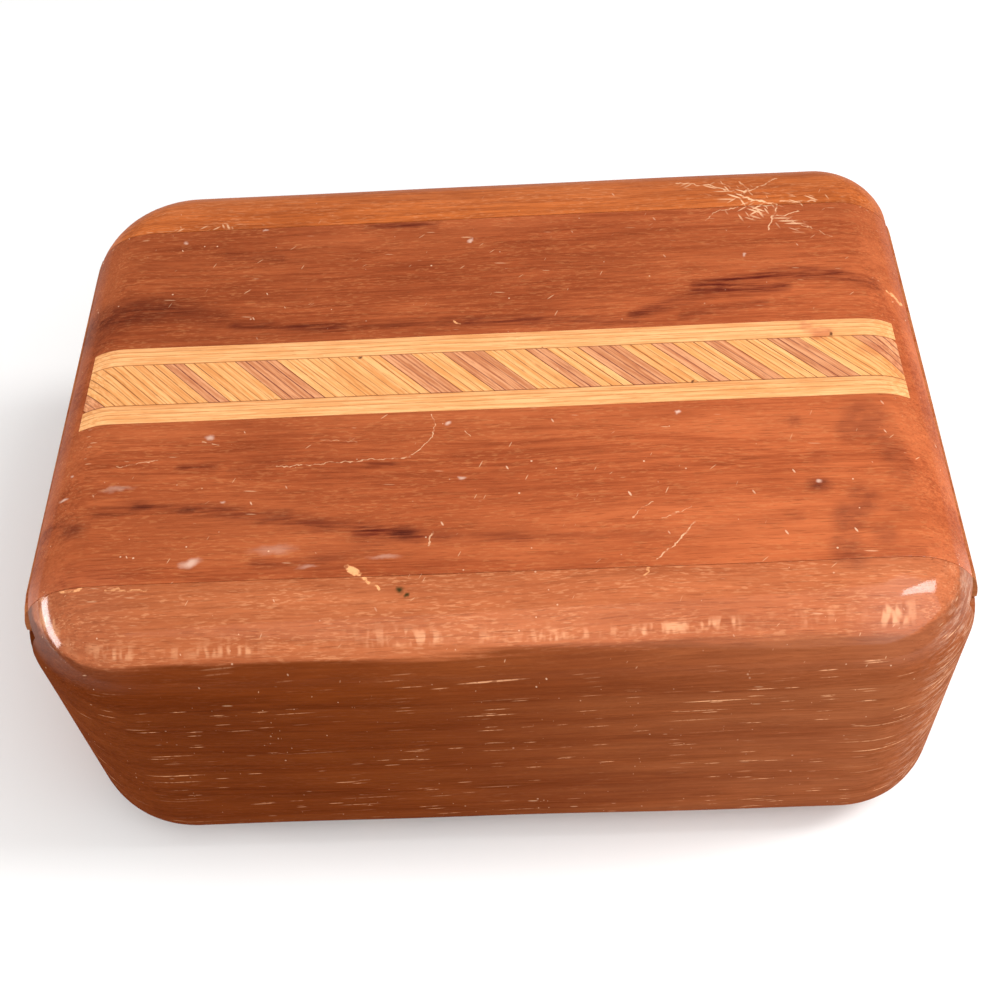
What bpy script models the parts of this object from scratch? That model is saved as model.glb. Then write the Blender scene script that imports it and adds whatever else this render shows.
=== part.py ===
# Wooden puzzle box: boards glued into a rounded block, a lid that slides lengthwise with a diagonal
# inlay band along it, and four steel pins that lock the lid until the box is spun flat on a table.
import bpy
import math
import numpy as np

# Metres. The origin is under the middle of the base, +X runs along the inlay, -Y is the front.
BOX_LENGTH = 0.108
BOX_DEPTH = 0.079
BOX_HEIGHT = 0.046
EDGE_RADIUS = 0.009              # round-over along every top and bottom edge
CORNER_RADII = {                 # hand-sanded upright corners, each a little different
    "front_right": 0.0125,
    "back_right": 0.0105,
    "back_left": 0.0140,
    "front_left": 0.0145,
}
CORNER_STEPS = 9
EDGE_STEPS = 7

GAP = 0.0003                     # left between pieces that touch
FRONT_WALL = 0.0110
BACK_WALL = 0.0120
END_BLOCK = 0.0120
BASE_BOARD = 0.0080
LID_BOARD = 0.0046
RUNNER_BOARD = 0.0036
RUNNER_TONGUE = 0.0033           # how far the runner reaches into each wall
TONGUE_LENGTH = 0.1020           # the tongues stop short of the box's ends
LINING = 0.0010

VENEER = 0.0009                  # one ply of the inlay, laid at 45 degrees
EDGING_WIDTH = 0.0028
CORE_WIDTH = 0.0065
INLAY_THICKNESS = 0.0010
INLAY_LENGTH = 0.0978
INLAY_CENTRE_Y = 0.0006
CORE_PACKS = [                   # plies of one wood glued side by side, from the left end
    ("rose", 2), ("pale", 10), ("rose", 2), ("pale", 5), ("rose", 4), ("pale", 10), ("rose", 3),
    ("pale", 3), ("rose", 4), ("pale", 4), ("rose", 2), ("pale", 3), ("rose", 4), ("pale", 3),
    ("rose", 2), ("pale", 3), ("rose", 2), ("pale", 4), ("rose", 3), ("pale", 5), ("rose", 4),
]

PIN_RADIUS = 0.0009
PIN_LENGTH = 0.0054
PIN_BORE_RADIUS = PIN_RADIUS + GAP
PIN_BORE_DEPTH = 0.0060          # in the wall, from the floor of the runner's groove
PIN_SOCKET_DEPTH = 0.0036        # in the runner's edge
PIN_STATIONS = {"left": -0.034, "middle": -0.004}
STOP_HEAD_RADIUS = 0.0021
STOP_HEAD_HEIGHT = 0.0022
STOP_SHANK_RADIUS = 0.0010
STOP_SHANK_LENGTH = 0.0028
STOP_SLOT_WIDTH = 0.0006
STOP_SLOT_DEPTH = 0.0006
ROUND_STEPS = 20

# worked out from the above
FRONT = -BOX_DEPTH / 2
BACK = BOX_DEPTH / 2
RIGHT = BOX_LENGTH / 2
FRONT_SEAM = FRONT + FRONT_WALL
BACK_SEAM = BACK - BACK_WALL
RUNNER_BASE = BOX_HEIGHT - LID_BOARD - GAP - RUNNER_BOARD
RUNNER_TOP = RUNNER_BASE + RUNNER_BOARD
PIN_HEIGHT = (RUNNER_BASE + RUNNER_TOP) / 2
OVERSIZE = 0.004                 # how far a rough board sticks out before it is rounded

WOODS = {
    "wall_wood": (0.42, 0.135, 0.045),
    "end_wood": (0.36, 0.11, 0.038),
    "lid_wood": (0.33, 0.09, 0.030),
    "inlay_pale": (0.80, 0.42, 0.15),
    "inlay_rose": (0.56, 0.22, 0.13),
}


def add_material(name, colour, roughness, metallic):
    material = bpy.data.materials.new(name)
    material.use_nodes = True
    shader = material.node_tree.nodes["Principled BSDF"]
    shader.inputs["Base Color"].default_value = (*colour, 1.0)
    shader.inputs["Roughness"].default_value = roughness
    shader.inputs["Metallic"].default_value = metallic
    return material


def add_object(name, points, faces, anchor, material=None, parent=None):
    # points are given in the box's frame; the object's origin goes to the anchor
    anchor = np.array(anchor, dtype=float)
    mesh = bpy.data.meshes.new(name)
    mesh.from_pydata((np.array(points) - anchor).tolist(), [], faces)
    mesh.validate()
    part = bpy.data.objects.new(name, mesh)
    bpy.context.scene.collection.objects.link(part)
    if parent:
        part.parent = parent
        part.location = anchor - np.array(parent.location)
    else:
        part.location = anchor
    if material:
        mesh.materials.append(material)
    return part


def add_cutter(name, points, faces):
    cutter = add_object(name, points, faces, (0, 0, 0))
    cutter.hide_render = True
    cutter.display_type = "WIRE"
    return cutter


def add_axis(name, place):
    axis = bpy.data.objects.new(name, None)
    axis.location = place
    bpy.context.scene.collection.objects.link(axis)
    return axis


def apply_boolean(part, cutter, operation):
    step = part.modifiers.new(operation.lower() + "_" + cutter.name, "BOOLEAN")
    step.operation = operation
    step.solver = "EXACT"
    step.object = cutter


def prism(outline, low, high):
    # upright prism over a plan outline that runs anticlockwise
    count = len(outline)
    points = [(x, y, low) for x, y in outline] + [(x, y, high) for x, y in outline]
    faces = [list(range(count))[::-1], list(range(count, 2 * count))]
    faces += [[i, (i + 1) % count, count + (i + 1) % count, count + i] for i in range(count)]
    return points, faces


def board(x_span, y_span, z_span):
    outline = [(x_span[0], y_span[0]), (x_span[1], y_span[0]), (x_span[1], y_span[1]), (x_span[0], y_span[1])]
    return prism(outline, *z_span)


def turned(profile, centre, axis):
    # profile: (distance along the axis, radius) pairs; both ends are closed by flat caps
    angles = [2 * math.pi * i / ROUND_STEPS for i in range(ROUND_STEPS)]
    along = np.array(axis, dtype=float)
    side = np.array((1.0, 0.0, 0.0))
    up = np.cross(along, side)
    points = []
    for distance, radius in profile:
        for angle in angles:
            points.append(centre + along * distance + radius * (side * math.cos(angle) + up * math.sin(angle)))
    faces = []
    for ring in range(len(profile) - 1):
        for i in range(ROUND_STEPS):
            a = ring * ROUND_STEPS + i
            b = ring * ROUND_STEPS + (i + 1) % ROUND_STEPS
            faces.append([a, b, b + ROUND_STEPS, a + ROUND_STEPS])
    last = (len(profile) - 1) * ROUND_STEPS
    faces.append(list(range(ROUND_STEPS))[::-1])
    faces.append([last + i for i in range(ROUND_STEPS)])
    return points, faces


def outline_at(inset):
    # the block's plan outline, anticlockwise from the front right corner, moved in by the inset
    centres = {
        "front_right": (1, -1, -90),
        "back_right": (1, 1, 0),
        "back_left": (-1, 1, 90),
        "front_left": (-1, -1, 180),
    }
    points = []
    for corner, (side_x, side_y, start) in centres.items():
        radius = CORNER_RADII[corner]
        centre_x = side_x * (BOX_LENGTH / 2 - radius)
        centre_y = side_y * (BOX_DEPTH / 2 - radius)
        for i in range(CORNER_STEPS + 1):
            angle = math.radians(start + 90 * i / CORNER_STEPS)
            points.append((centre_x + (radius - inset) * math.cos(angle),
                           centre_y + (radius - inset) * math.sin(angle)))
    return points


def rounded_block():
    # rings stacked from the base to the top, following the quarter-round edges
    quarter = [math.pi / 2 * i / EDGE_STEPS for i in range(EDGE_STEPS + 1)]
    levels = [(EDGE_RADIUS * (1 - math.sin(a)), EDGE_RADIUS * (1 - math.cos(a))) for a in quarter]
    levels += [(EDGE_RADIUS * (1 - math.cos(a)), BOX_HEIGHT - EDGE_RADIUS * (1 - math.sin(a))) for a in quarter]
    points = []
    for inset, height in levels:
        points += [(x, y, height) for x, y in outline_at(inset)]
    count = len(points) // len(levels)
    faces = [list(range(count))[::-1]]
    for ring in range(len(levels) - 1):
        for i in range(count):
            a = ring * count + i
            b = ring * count + (i + 1) % count
            faces.append([a, b, b + count, a + count])
    top = (len(levels) - 1) * count
    faces.append([top + i for i in range(count)])
    return points, faces


def shade(part):
    part.data.shade_smooth()
    part.data.set_sharp_from_angle(angle=math.radians(35))


def make_wall(name, outer, seam, block, material, bores):
    # a full-length board, rounded outside and grooved inside for the runner
    inward = 1 if seam > outer else -1
    face = seam - inward * GAP / 2
    groove_floor = face - inward * (RUNNER_TONGUE + GAP / 2)
    span_y = sorted((outer - inward * OVERSIZE, face))
    long_x = (-RIGHT - OVERSIZE, RIGHT + OVERSIZE)
    wall = add_object(name, *board(long_x, span_y, (-OVERSIZE, BOX_HEIGHT + OVERSIZE)), (0, outer, 0), material)
    apply_boolean(wall, block, "INTERSECT")
    groove_y = sorted((groove_floor, face + inward * OVERSIZE))
    longer_x = (-RIGHT - 2 * OVERSIZE, RIGHT + 2 * OVERSIZE)
    groove = add_cutter(name + "_groove", *board(longer_x, groove_y, (RUNNER_BASE - GAP, RUNNER_TOP + GAP)))
    apply_boolean(wall, groove, "DIFFERENCE")
    for station in PIN_STATIONS.values():
        mouth = np.array((station, groove_floor + inward * GAP, PIN_HEIGHT))
        profile = [(0.0, PIN_BORE_RADIUS), (PIN_BORE_DEPTH + GAP, PIN_BORE_RADIUS)]
        bore = add_cutter(name + "_bore", *turned(profile, mouth, (0, -inward, 0)))
        apply_boolean(wall, bore, "DIFFERENCE")
    bores.append((name.split("_")[0], groove_floor, inward))
    return wall


def make_end_block(name, side, block, material):
    outer = side * (RIGHT + OVERSIZE)
    inner = side * (RIGHT - END_BLOCK)
    span_y = (FRONT_SEAM + GAP / 2, BACK_SEAM - GAP / 2)
    shape = board(sorted((inner, outer)), span_y, (BASE_BOARD + GAP, RUNNER_BASE - GAP))
    end = add_object(name, *shape, (inner, 0, BASE_BOARD), material)
    apply_boolean(end, block, "INTERSECT")
    return end


def make_base_board(block, material):
    long_x = (-RIGHT - OVERSIZE, RIGHT + OVERSIZE)
    span_y = (FRONT_SEAM + GAP / 2, BACK_SEAM - GAP / 2)
    base = add_object("base_board", *board(long_x, span_y, (-OVERSIZE, BASE_BOARD)), (0, 0, 0), material)
    apply_boolean(base, block, "INTERSECT")
    return base


def make_lining(material):
    half_length = RIGHT - END_BLOCK - GAP
    span_y = (FRONT_SEAM + 2 * GAP, BACK_SEAM - 2 * GAP)
    floor = BASE_BOARD + GAP
    shape = board((-half_length, half_length), span_y, (floor, floor + LINING))
    return add_object("felt_lining", *shape, (0, 0, floor), material)


def make_lid_board(block, material, axis):
    long_x = (-RIGHT - OVERSIZE, RIGHT + OVERSIZE)
    span_y = (FRONT_SEAM + GAP / 2, BACK_SEAM - GAP / 2)
    shape = board(long_x, span_y, (BOX_HEIGHT - LID_BOARD, BOX_HEIGHT + OVERSIZE))
    lid = add_object("lid_board", *shape, axis.location, material, axis)
    apply_boolean(lid, block, "INTERSECT")
    half_width = CORE_WIDTH / 2 + EDGING_WIDTH + GAP
    trench_y = (INLAY_CENTRE_Y - half_width, INLAY_CENTRE_Y + half_width)
    trench_z = (BOX_HEIGHT - INLAY_THICKNESS - GAP, BOX_HEIGHT + OVERSIZE)
    longer_x = (-RIGHT - 2 * OVERSIZE, RIGHT + 2 * OVERSIZE)
    apply_boolean(lid, add_cutter("inlay_trench", *board(longer_x, trench_y, trench_z)), "DIFFERENCE")
    return lid


def make_runner_board(block, material, axis):
    # the wider board under the lid; its long edges are the tongues
    span_y = (FRONT_SEAM - RUNNER_TONGUE + GAP / 2, BACK_SEAM + RUNNER_TONGUE - GAP / 2)
    lid_y = (FRONT_SEAM + GAP / 2, BACK_SEAM - GAP / 2)
    far = RIGHT + OVERSIZE
    step = TONGUE_LENGTH / 2
    outline = [
        (-far, lid_y[0]), (-step, lid_y[0]), (-step, span_y[0]), (step, span_y[0]), (step, lid_y[0]), (far, lid_y[0]),
        (far, lid_y[1]), (step, lid_y[1]), (step, span_y[1]), (-step, span_y[1]), (-step, lid_y[1]), (-far, lid_y[1]),
    ]
    shape = prism(outline, RUNNER_BASE, RUNNER_TOP)
    runner = add_object("lid_runner_board", *shape, axis.location, material, axis)
    apply_boolean(runner, block, "INTERSECT")
    for edge, inward in ((span_y[0], 1), (span_y[1], -1)):
        for station in PIN_STATIONS.values():
            mouth = np.array((station, edge - inward * GAP, PIN_HEIGHT))
            profile = [(0.0, PIN_BORE_RADIUS), (PIN_SOCKET_DEPTH + GAP, PIN_BORE_RADIUS)]
            socket = add_cutter("pin_socket", *turned(profile, mouth, (0, inward, 0)))
            apply_boolean(runner, socket, "DIFFERENCE")
    foot = np.array((stop_x(), INLAY_CENTRE_Y, RUNNER_BASE - GAP))
    profile = [(0.0, STOP_SHANK_RADIUS + GAP), (STOP_SHANK_LENGTH + 2 * GAP, STOP_SHANK_RADIUS + GAP)]
    apply_boolean(runner, add_cutter("stop_hole", *turned(profile, foot, (0, 0, 1))), "DIFFERENCE")
    return runner


def stop_x():
    # the stop's head stands just clear of the left end block when the lid is shut
    return -RIGHT + END_BLOCK + GAP + STOP_HEAD_RADIUS


def make_stop_screw(material, axis):
    # a round-headed screw under the lid, slotted, driven up into the runner
    head_top = RUNNER_BASE - GAP
    place = np.array((stop_x(), INLAY_CENTRE_Y, head_top))
    dome = 4
    profile = []
    for i in range(dome + 1):
        angle = math.pi / 2 * (0.25 + 0.75 * i / dome)
        profile.append((-STOP_HEAD_HEIGHT * math.cos(angle), STOP_HEAD_RADIUS * math.sin(angle)))
    profile += [(0.0, STOP_SHANK_RADIUS), (STOP_SHANK_LENGTH, STOP_SHANK_RADIUS)]
    screw = add_object("stop_screw", *turned(profile, place, (0, 0, 1)), place, material, axis)
    crown = head_top - STOP_HEAD_HEIGHT * math.cos(math.pi / 8)
    slot_x = (place[0] - STOP_HEAD_RADIUS - GAP, place[0] + STOP_HEAD_RADIUS + GAP)
    slot_y = (place[1] - STOP_SLOT_WIDTH / 2, place[1] + STOP_SLOT_WIDTH / 2)
    slot = add_cutter("stop_slot", *board(slot_x, slot_y, (crown - GAP, crown + STOP_SLOT_DEPTH)))
    apply_boolean(screw, slot, "DIFFERENCE")
    shade(screw)
    return screw


def make_edging(name, side, block, material, axis):
    # four straight plies laid along one side of the diagonal core
    inner = INLAY_CENTRE_Y + side * (CORE_WIDTH / 2 + GAP / 2)
    outer = INLAY_CENTRE_Y + side * (CORE_WIDTH / 2 + EDGING_WIDTH)
    shape = board((-INLAY_LENGTH / 2, INLAY_LENGTH / 2), sorted((inner, outer)), inlay_span_z())
    edging = add_object(name, *shape, axis.location, material, axis)
    apply_boolean(edging, block, "INTERSECT")
    return edging


def inlay_span_z():
    return (BOX_HEIGHT - INLAY_THICKNESS, BOX_HEIGHT + OVERSIZE)


def clip_outline(outline, limit, side):
    # keeps the part of a convex outline whose x is inside the limit on the given side
    kept = []
    for i, start in enumerate(outline):
        end = outline[(i + 1) % len(outline)]
        start_in = side * start[0] <= side * limit
        end_in = side * end[0] <= side * limit
        if start_in:
            kept.append(start)
        if start_in != end_in:
            share = (limit - start[0]) / (end[0] - start[0])
            kept.append((limit, start[1] + share * (end[1] - start[1])))
    return kept


def make_core(block, materials, axis):
    # every ply edge lies on a line x + y = constant, so a pack is a parallelogram cut square at the ends
    pitch = VENEER * math.sqrt(2)
    front = INLAY_CENTRE_Y - CORE_WIDTH / 2 + GAP / 2
    back = INLAY_CENTRE_Y + CORE_WIDTH / 2 - GAP / 2
    plies = sum(count for wood, count in CORE_PACKS)
    start = INLAY_CENTRE_Y - plies * pitch / 2
    packs = []
    for number, (wood, count) in enumerate(CORE_PACKS, 1):
        end = start + count * pitch
        low = start + GAP / 2 * math.sqrt(2)
        high = end - GAP / 2 * math.sqrt(2)
        outline = [(low - front, front), (high - front, front), (high - back, back), (low - back, back)]
        outline = clip_outline(outline, INLAY_LENGTH / 2, 1)
        outline = clip_outline(outline, -INLAY_LENGTH / 2, -1)
        name = f"inlay_pack_{number:02d}_{wood}"
        pack = add_object(name, *prism(outline, *inlay_span_z()), axis.location, materials["inlay_" + wood], axis)
        apply_boolean(pack, block, "INTERSECT")
        packs.append(pack)
        start = end
    return packs


def make_pins(bores, material):
    # each pin rests at the bottom of its bore, clear of the runner
    chamfer = PIN_RADIUS / 3
    for wall, groove_floor, inward in bores:
        for station, x in PIN_STATIONS.items():
            tip = np.array((x, groove_floor - inward * GAP, PIN_HEIGHT))
            profile = [
                (0.0, PIN_RADIUS - chamfer),
                (chamfer, PIN_RADIUS),
                (PIN_LENGTH - chamfer, PIN_RADIUS),
                (PIN_LENGTH, PIN_RADIUS - chamfer),
            ]
            shape = turned(profile, tip, (0, -inward, 0))
            pin = add_object(f"{wall}_{station}_lock_pin", *shape, tip, material)
            shade(pin)


def build():
    for old in list(bpy.data.objects):
        bpy.data.objects.remove(old, do_unlink=True)
    woods = {name: add_material(name, colour, 0.35, 0.0) for name, colour in WOODS.items()}
    felt = add_material("green_felt", (0.030, 0.075, 0.040), 0.95, 0.0)
    steel = add_material("steel", (0.55, 0.55, 0.56), 0.3, 1.0)
    brass = add_material("brass", (0.72, 0.50, 0.20), 0.3, 1.0)
    block = add_cutter("rounded_block", *rounded_block())
    lid_axis = add_axis("lid_slide_axis", (0.0, 0.0, RUNNER_BASE))

    bores = []
    make_wall("front_wall", FRONT, FRONT_SEAM, block, woods["wall_wood"], bores)
    make_wall("back_wall", BACK, BACK_SEAM, block, woods["wall_wood"], bores)
    make_end_block("left_end_block", -1, block, woods["end_wood"])
    make_end_block("right_end_block", 1, block, woods["end_wood"])
    make_base_board(block, woods["end_wood"])
    make_lining(felt)
    make_pins(bores, steel)
    make_lid_board(block, woods["lid_wood"], lid_axis)
    make_runner_board(block, woods["end_wood"], lid_axis)
    make_stop_screw(brass, lid_axis)
    make_edging("inlay_front_edging", -1, block, woods["inlay_pale"], lid_axis)
    make_edging("inlay_back_edging", 1, block, woods["inlay_pale"], lid_axis)
    make_core(block, woods, lid_axis)


build()
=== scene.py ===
import bpy
import math
import numpy as np
from mathutils import Matrix, Vector


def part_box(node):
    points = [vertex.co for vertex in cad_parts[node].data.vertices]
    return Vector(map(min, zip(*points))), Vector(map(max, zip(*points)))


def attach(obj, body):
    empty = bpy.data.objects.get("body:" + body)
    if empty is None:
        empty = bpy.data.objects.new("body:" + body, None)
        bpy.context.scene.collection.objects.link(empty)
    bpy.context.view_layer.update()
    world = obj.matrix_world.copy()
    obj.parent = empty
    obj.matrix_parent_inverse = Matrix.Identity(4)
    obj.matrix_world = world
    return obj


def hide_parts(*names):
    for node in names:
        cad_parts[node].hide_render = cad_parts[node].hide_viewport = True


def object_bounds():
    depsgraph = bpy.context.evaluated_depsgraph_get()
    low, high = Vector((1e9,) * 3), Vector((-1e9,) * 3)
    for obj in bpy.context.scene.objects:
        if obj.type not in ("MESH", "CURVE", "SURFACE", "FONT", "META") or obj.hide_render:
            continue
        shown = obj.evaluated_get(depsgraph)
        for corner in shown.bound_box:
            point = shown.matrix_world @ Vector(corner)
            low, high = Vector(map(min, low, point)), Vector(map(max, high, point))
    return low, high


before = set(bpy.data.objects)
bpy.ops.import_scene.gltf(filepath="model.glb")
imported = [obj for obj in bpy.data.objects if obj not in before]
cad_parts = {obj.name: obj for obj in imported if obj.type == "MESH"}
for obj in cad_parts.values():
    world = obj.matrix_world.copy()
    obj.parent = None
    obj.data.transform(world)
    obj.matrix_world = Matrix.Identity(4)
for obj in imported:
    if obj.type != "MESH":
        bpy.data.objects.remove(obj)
cadBox = [list(corner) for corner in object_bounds()]
print("frame loaded:", len(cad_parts), "nodes")

mm = 0.001

# the block all outer boards are cut from
block = {
    "length": cadBox[1][0] - cadBox[0][0],
    "depth": cadBox[1][1] - cadBox[0][1],
    "height": cadBox[1][2] - cadBox[0][2],
    "edgeRadius": 9.0 * mm,
    "frontLeft": 14.5 * mm,        # hand-sanded upright corners
    "frontRight": 12.5 * mm,
    "backLeft": 14.0 * mm,
    "backRight": 10.5 * mm,
    "sandedDip": 0.11 * mm,        # how uneven hand sanding left the outside
}
frontSeam = -28.5 * mm
backSeam = 27.5 * mm
slideGap = 0.03 * mm               # each side of a moving seam
glueGap = 0.012 * mm               # each side of a glued seam
grooveLow, grooveHigh = 37.2 * mm, 41.4 * mm
runnerLow, runnerHigh = 37.4 * mm, 41.32 * mm
lidLow = 41.35 * mm
trenchFloor = 44.7 * mm
inlayFront, inlayBack = -5.45 * mm, 6.65 * mm


def insetAt(z):
    # how far the round-over draws the outline in: r - sqrt(r^2 - s^2), s = height past the straight part
    radius, half = block["edgeRadius"], block["height"] / 2
    past = np.clip(np.abs(z - half) - (half - radius), 0, radius)
    return radius - np.sqrt(radius ** 2 - past ** 2)


def cornerRadius(side, y):
    # radius of the upright corner on this side (-1 left, 1 right) and at this y (front below 0)
    left, right = ("frontLeft", "frontRight"), ("backLeft", "backRight")
    pick = 0 if side < 0 else 1
    return np.where(np.asarray(y) < 0, block[left[pick]], block[right[pick]])


def endReach(y, z, side):
    # the block's end at (y, z): straight end less the inset, or the corner's arc past its centre line
    corner, inset = cornerRadius(side, y), insetAt(z)
    past = np.clip(np.abs(y) - (block["depth"] / 2 - corner), 0, corner - inset)
    return block["length"] / 2 - corner + np.sqrt(np.maximum((corner - inset) ** 2 - past ** 2, 0))


def faceAt(z):
    # how far the long faces stand from the middle: half the depth less the inset
    return block["depth"] / 2 - insetAt(z)


def withStops(lines, stops, room):
    # evenly spaced lines, with the ones that crowd a stop replaced by it
    lines = np.asarray(lines)
    clear = np.min(np.abs(lines[:, None] - np.asarray(stops)[None, :]), axis=1) > room
    inside = (lines > min(stops)) & (lines < max(stops))
    return np.unique(np.concatenate([lines[clear & inside], stops]))


def heightLines(stops, steps=18):
    # levels closer together round the edges: z = edge + r sin(angle)
    radius, height = block["edgeRadius"], block["height"]
    angle = np.linspace(0, math.pi / 2, steps + 1)
    levels = np.concatenate([radius - radius * np.sin(angle), np.linspace(radius, height - radius, 15),
                             height - radius + radius * np.sin(angle)])
    return withStops(np.unique(np.round(levels, 7)), stops, 0.2 * mm)


def smooth(a):
    a = np.clip(a, 0, 1)
    return a * a * (3 - 2 * a)


def handSanded(points):
    # slow waves in each outer face, growing from nothing inside the block to the full dip at its skin
    x, y, z = points[..., 0], points[..., 1], points[..., 2]
    dip = block["sandedDip"]
    top = np.sin(x * 71 + 0.6) * np.cos(y * 63 + 1.9) + 0.6 * np.sin(x * 163 - y * 118)
    side = np.sin(x * 83 + 2.1) * np.cos(z * 97 + 0.4) + 0.5 * np.sin(x * 187 + z * 131)
    end = np.sin(y * 92 + 0.7) * np.cos(z * 88 + 1.2) + 0.5 * np.sin(y * 171 - z * 143)
    moved = points.copy()
    moved[..., 2] -= dip * (top + 1.6) * smooth((z - 42 * mm) / (3 * mm)) * 0.5
    moved[..., 1] -= np.sign(y) * dip * (side + 1.5) * smooth((np.abs(y) - 32.5 * mm) / (4 * mm)) * 0.7
    moved[..., 0] -= np.sign(x) * dip * (end + 1.5) * smooth((np.abs(x) - 46 * mm) / (5 * mm)) * 0.7
    return moved


def skinOf(points, keep):
    # the quads between kept cells and empty ones, all turned outwards
    solid = np.pad(keep, 1)
    number = np.arange(points[..., 0].size).reshape(points.shape[:3])
    quads = []
    for axis in range(3):
        others = [(axis + 1) % 3, (axis + 2) % 3]
        low = [slice(1, -1)] * 3
        high = [slice(1, -1)] * 3
        low[axis], high[axis] = slice(0, -1), slice(1, None)
        before, after = solid[tuple(low)], solid[tuple(high)]
        for mask, order in ((before & ~after, (0, 1, 2, 3)), (after & ~before, (3, 2, 1, 0))):
            cell = np.stack(np.nonzero(mask), axis=1)
            corners = []
            for step in ((0, 0), (1, 0), (1, 1), (0, 1)):
                at = cell.copy()
                at[:, others[0]] += step[0]
                at[:, others[1]] += step[1]
                corners.append(number[at[:, 0], at[:, 1], at[:, 2]])
            quads.append(np.stack([corners[i] for i in order], axis=1))
    quads = np.concatenate(quads)
    used, faces = np.unique(quads, return_inverse=True)
    return points.reshape(-1, 3)[used], faces.reshape(-1, 4)


def makePiece(name, points, faces):
    mesh = bpy.data.meshes.new(name)
    mesh.from_pydata(points, [], faces)
    mesh.validate()
    mesh.update()
    mesh.shade_smooth()
    piece = bpy.data.objects.new(name, mesh)
    bpy.context.scene.collection.objects.link(piece)
    return piece


def easeArris(piece, width, limit=48):
    bevel = piece.modifiers.new("easedArris", "BEVEL")
    bevel.width = width
    bevel.segments = 2
    bevel.limit_method = "ANGLE"
    bevel.angle_limit = math.radians(limit)
    bevel.harden_normals = True
    bevel.use_clamp_overlap = True


def cutAway(piece, points, faces):
    # takes a closed cutter out of the piece, and keeps the result as its mesh
    cutter = makePiece("cutter", points, faces)
    step = piece.modifiers.new("cut", "BOOLEAN")
    step.operation, step.solver, step.object = "DIFFERENCE", "EXACT", cutter
    bpy.context.view_layer.update()
    graph = bpy.context.evaluated_depsgraph_get()
    mesh = bpy.data.meshes.new_from_object(piece.evaluated_get(graph))
    piece.modifiers.remove(step)
    old = piece.data
    piece.data = mesh
    bpy.data.meshes.remove(old)
    bpy.data.objects.remove(cutter, do_unlink=True)
    mesh.shade_smooth()


def boardBetween(yLines, zLines, shares, keep=None):
    # a board along x that stops at the block's rounded ends: x = left + share (right - left)
    y, z = np.meshgrid(yLines, zLines, indexing="ij")
    left, right = -endReach(y, z, -1), endReach(y, z, 1)
    share = np.asarray(shares)[:, None, None]
    x = left + share * (right - left)
    points = latticeOf(x, y, z)
    cells = allCells(points)
    if keep is not None:
        cells &= keep(points)
    return skinOf(handSanded(points), cells)


def latticeOf(x, y, z):
    # a grid of points from three arrays stretched to one shape
    return np.stack(np.broadcast_arrays(x, y, z), axis=-1)


def allCells(points):
    return np.ones([n - 1 for n in points.shape[:3]], bool)


def cellMiddles(points):
    middle = points[:-1, :-1, :-1] + points[1:, 1:, 1:]
    return middle / 2


def turnedSurface(profile, centre, axis, sides=40):
    # a profile of (distance along the axis, radius) carried round it, closed at both ends by its poles
    profile = np.asarray(profile)
    angle = np.linspace(0, 2 * math.pi, sides, endpoint=False)
    along = np.asarray(axis, float)
    across = np.array((1.0, 0.0, 0.0))
    third = np.cross(along, across)
    ring = np.cos(angle)[:, None] * across + np.sin(angle)[:, None] * third
    rings = profile[:, 1][:, None, None] * ring + (np.asarray(centre) + profile[:, :1] * along)[:, None, :]
    poles = np.asarray(centre) + np.array([[profile[0, 0]], [profile[-1, 0]]]) * along
    points = np.concatenate([rings.reshape(-1, 3), poles])
    row = np.arange(len(profile) - 1)[:, None] * sides
    here, following = np.arange(sides), (np.arange(sides) + 1) % sides
    sheets = np.stack([row + here, row + following, row + following + sides, row + here + sides], -1)
    last = (len(profile) - 1) * sides
    first = [(int(b), int(a), last + sides) for a, b in zip(here, following)]
    final = [(int(last + a), int(last + b), last + sides + 1) for a, b in zip(here, following)]
    return points, sheets.reshape(-1, 4).tolist() + first + final


# shader building
def put(tree, kind, inputs=None, **settings):
    node = tree.nodes.new("ShaderNode" + kind)
    for key, value in settings.items():
        setattr(node, key, value)
    for key, value in (inputs or {}).items():
        if isinstance(value, bpy.types.NodeSocket):
            tree.links.new(value, node.inputs[key])
        else:
            node.inputs[key].default_value = value
    return node


def calc(tree, operation, first, second=0.0, third=0.0, clamp=False):
    return put(tree, "Math", {0: first, 1: second, 2: third}, operation=operation, use_clamp=clamp).outputs[0]


def times(tree, first, second):
    return calc(tree, "MULTIPLY", first, second)


def vectorCalc(tree, operation, first, second=(0.0, 0.0, 0.0)):
    node = put(tree, "VectorMath", {0: first, 1: second}, operation=operation)
    return node.outputs["Value" if operation in ("LENGTH", "DOT_PRODUCT", "DISTANCE") else "Vector"]


def blendColour(tree, share, first, second, mode="MIX"):
    node = put(tree, "Mix", {0: share, 6: first, 7: second}, data_type="RGBA", blend_type=mode)
    return node.outputs[2]


def remap(tree, value, low, high, start=0.0, end=1.0, soft=True):
    kind = "SMOOTHSTEP" if soft else "LINEAR"
    node = put(tree, "MapRange", {0: value, 1: low, 2: high, 3: start, 4: end}, interpolation_type=kind)
    return node.outputs[0]


def grainNoise(tree, vector, stretch, detail=2.0, roughness=0.5, distortion=0.0):
    # noise whose cells are 1/stretch long in each direction
    scaled = vectorCalc(tree, "MULTIPLY", vector, stretch)
    node = put(tree, "TexNoise", {"Vector": scaled, "Scale": 1.0, "Detail": detail, "Roughness": roughness,
                                  "Distortion": distortion})
    return node.outputs["Fac"]


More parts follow.
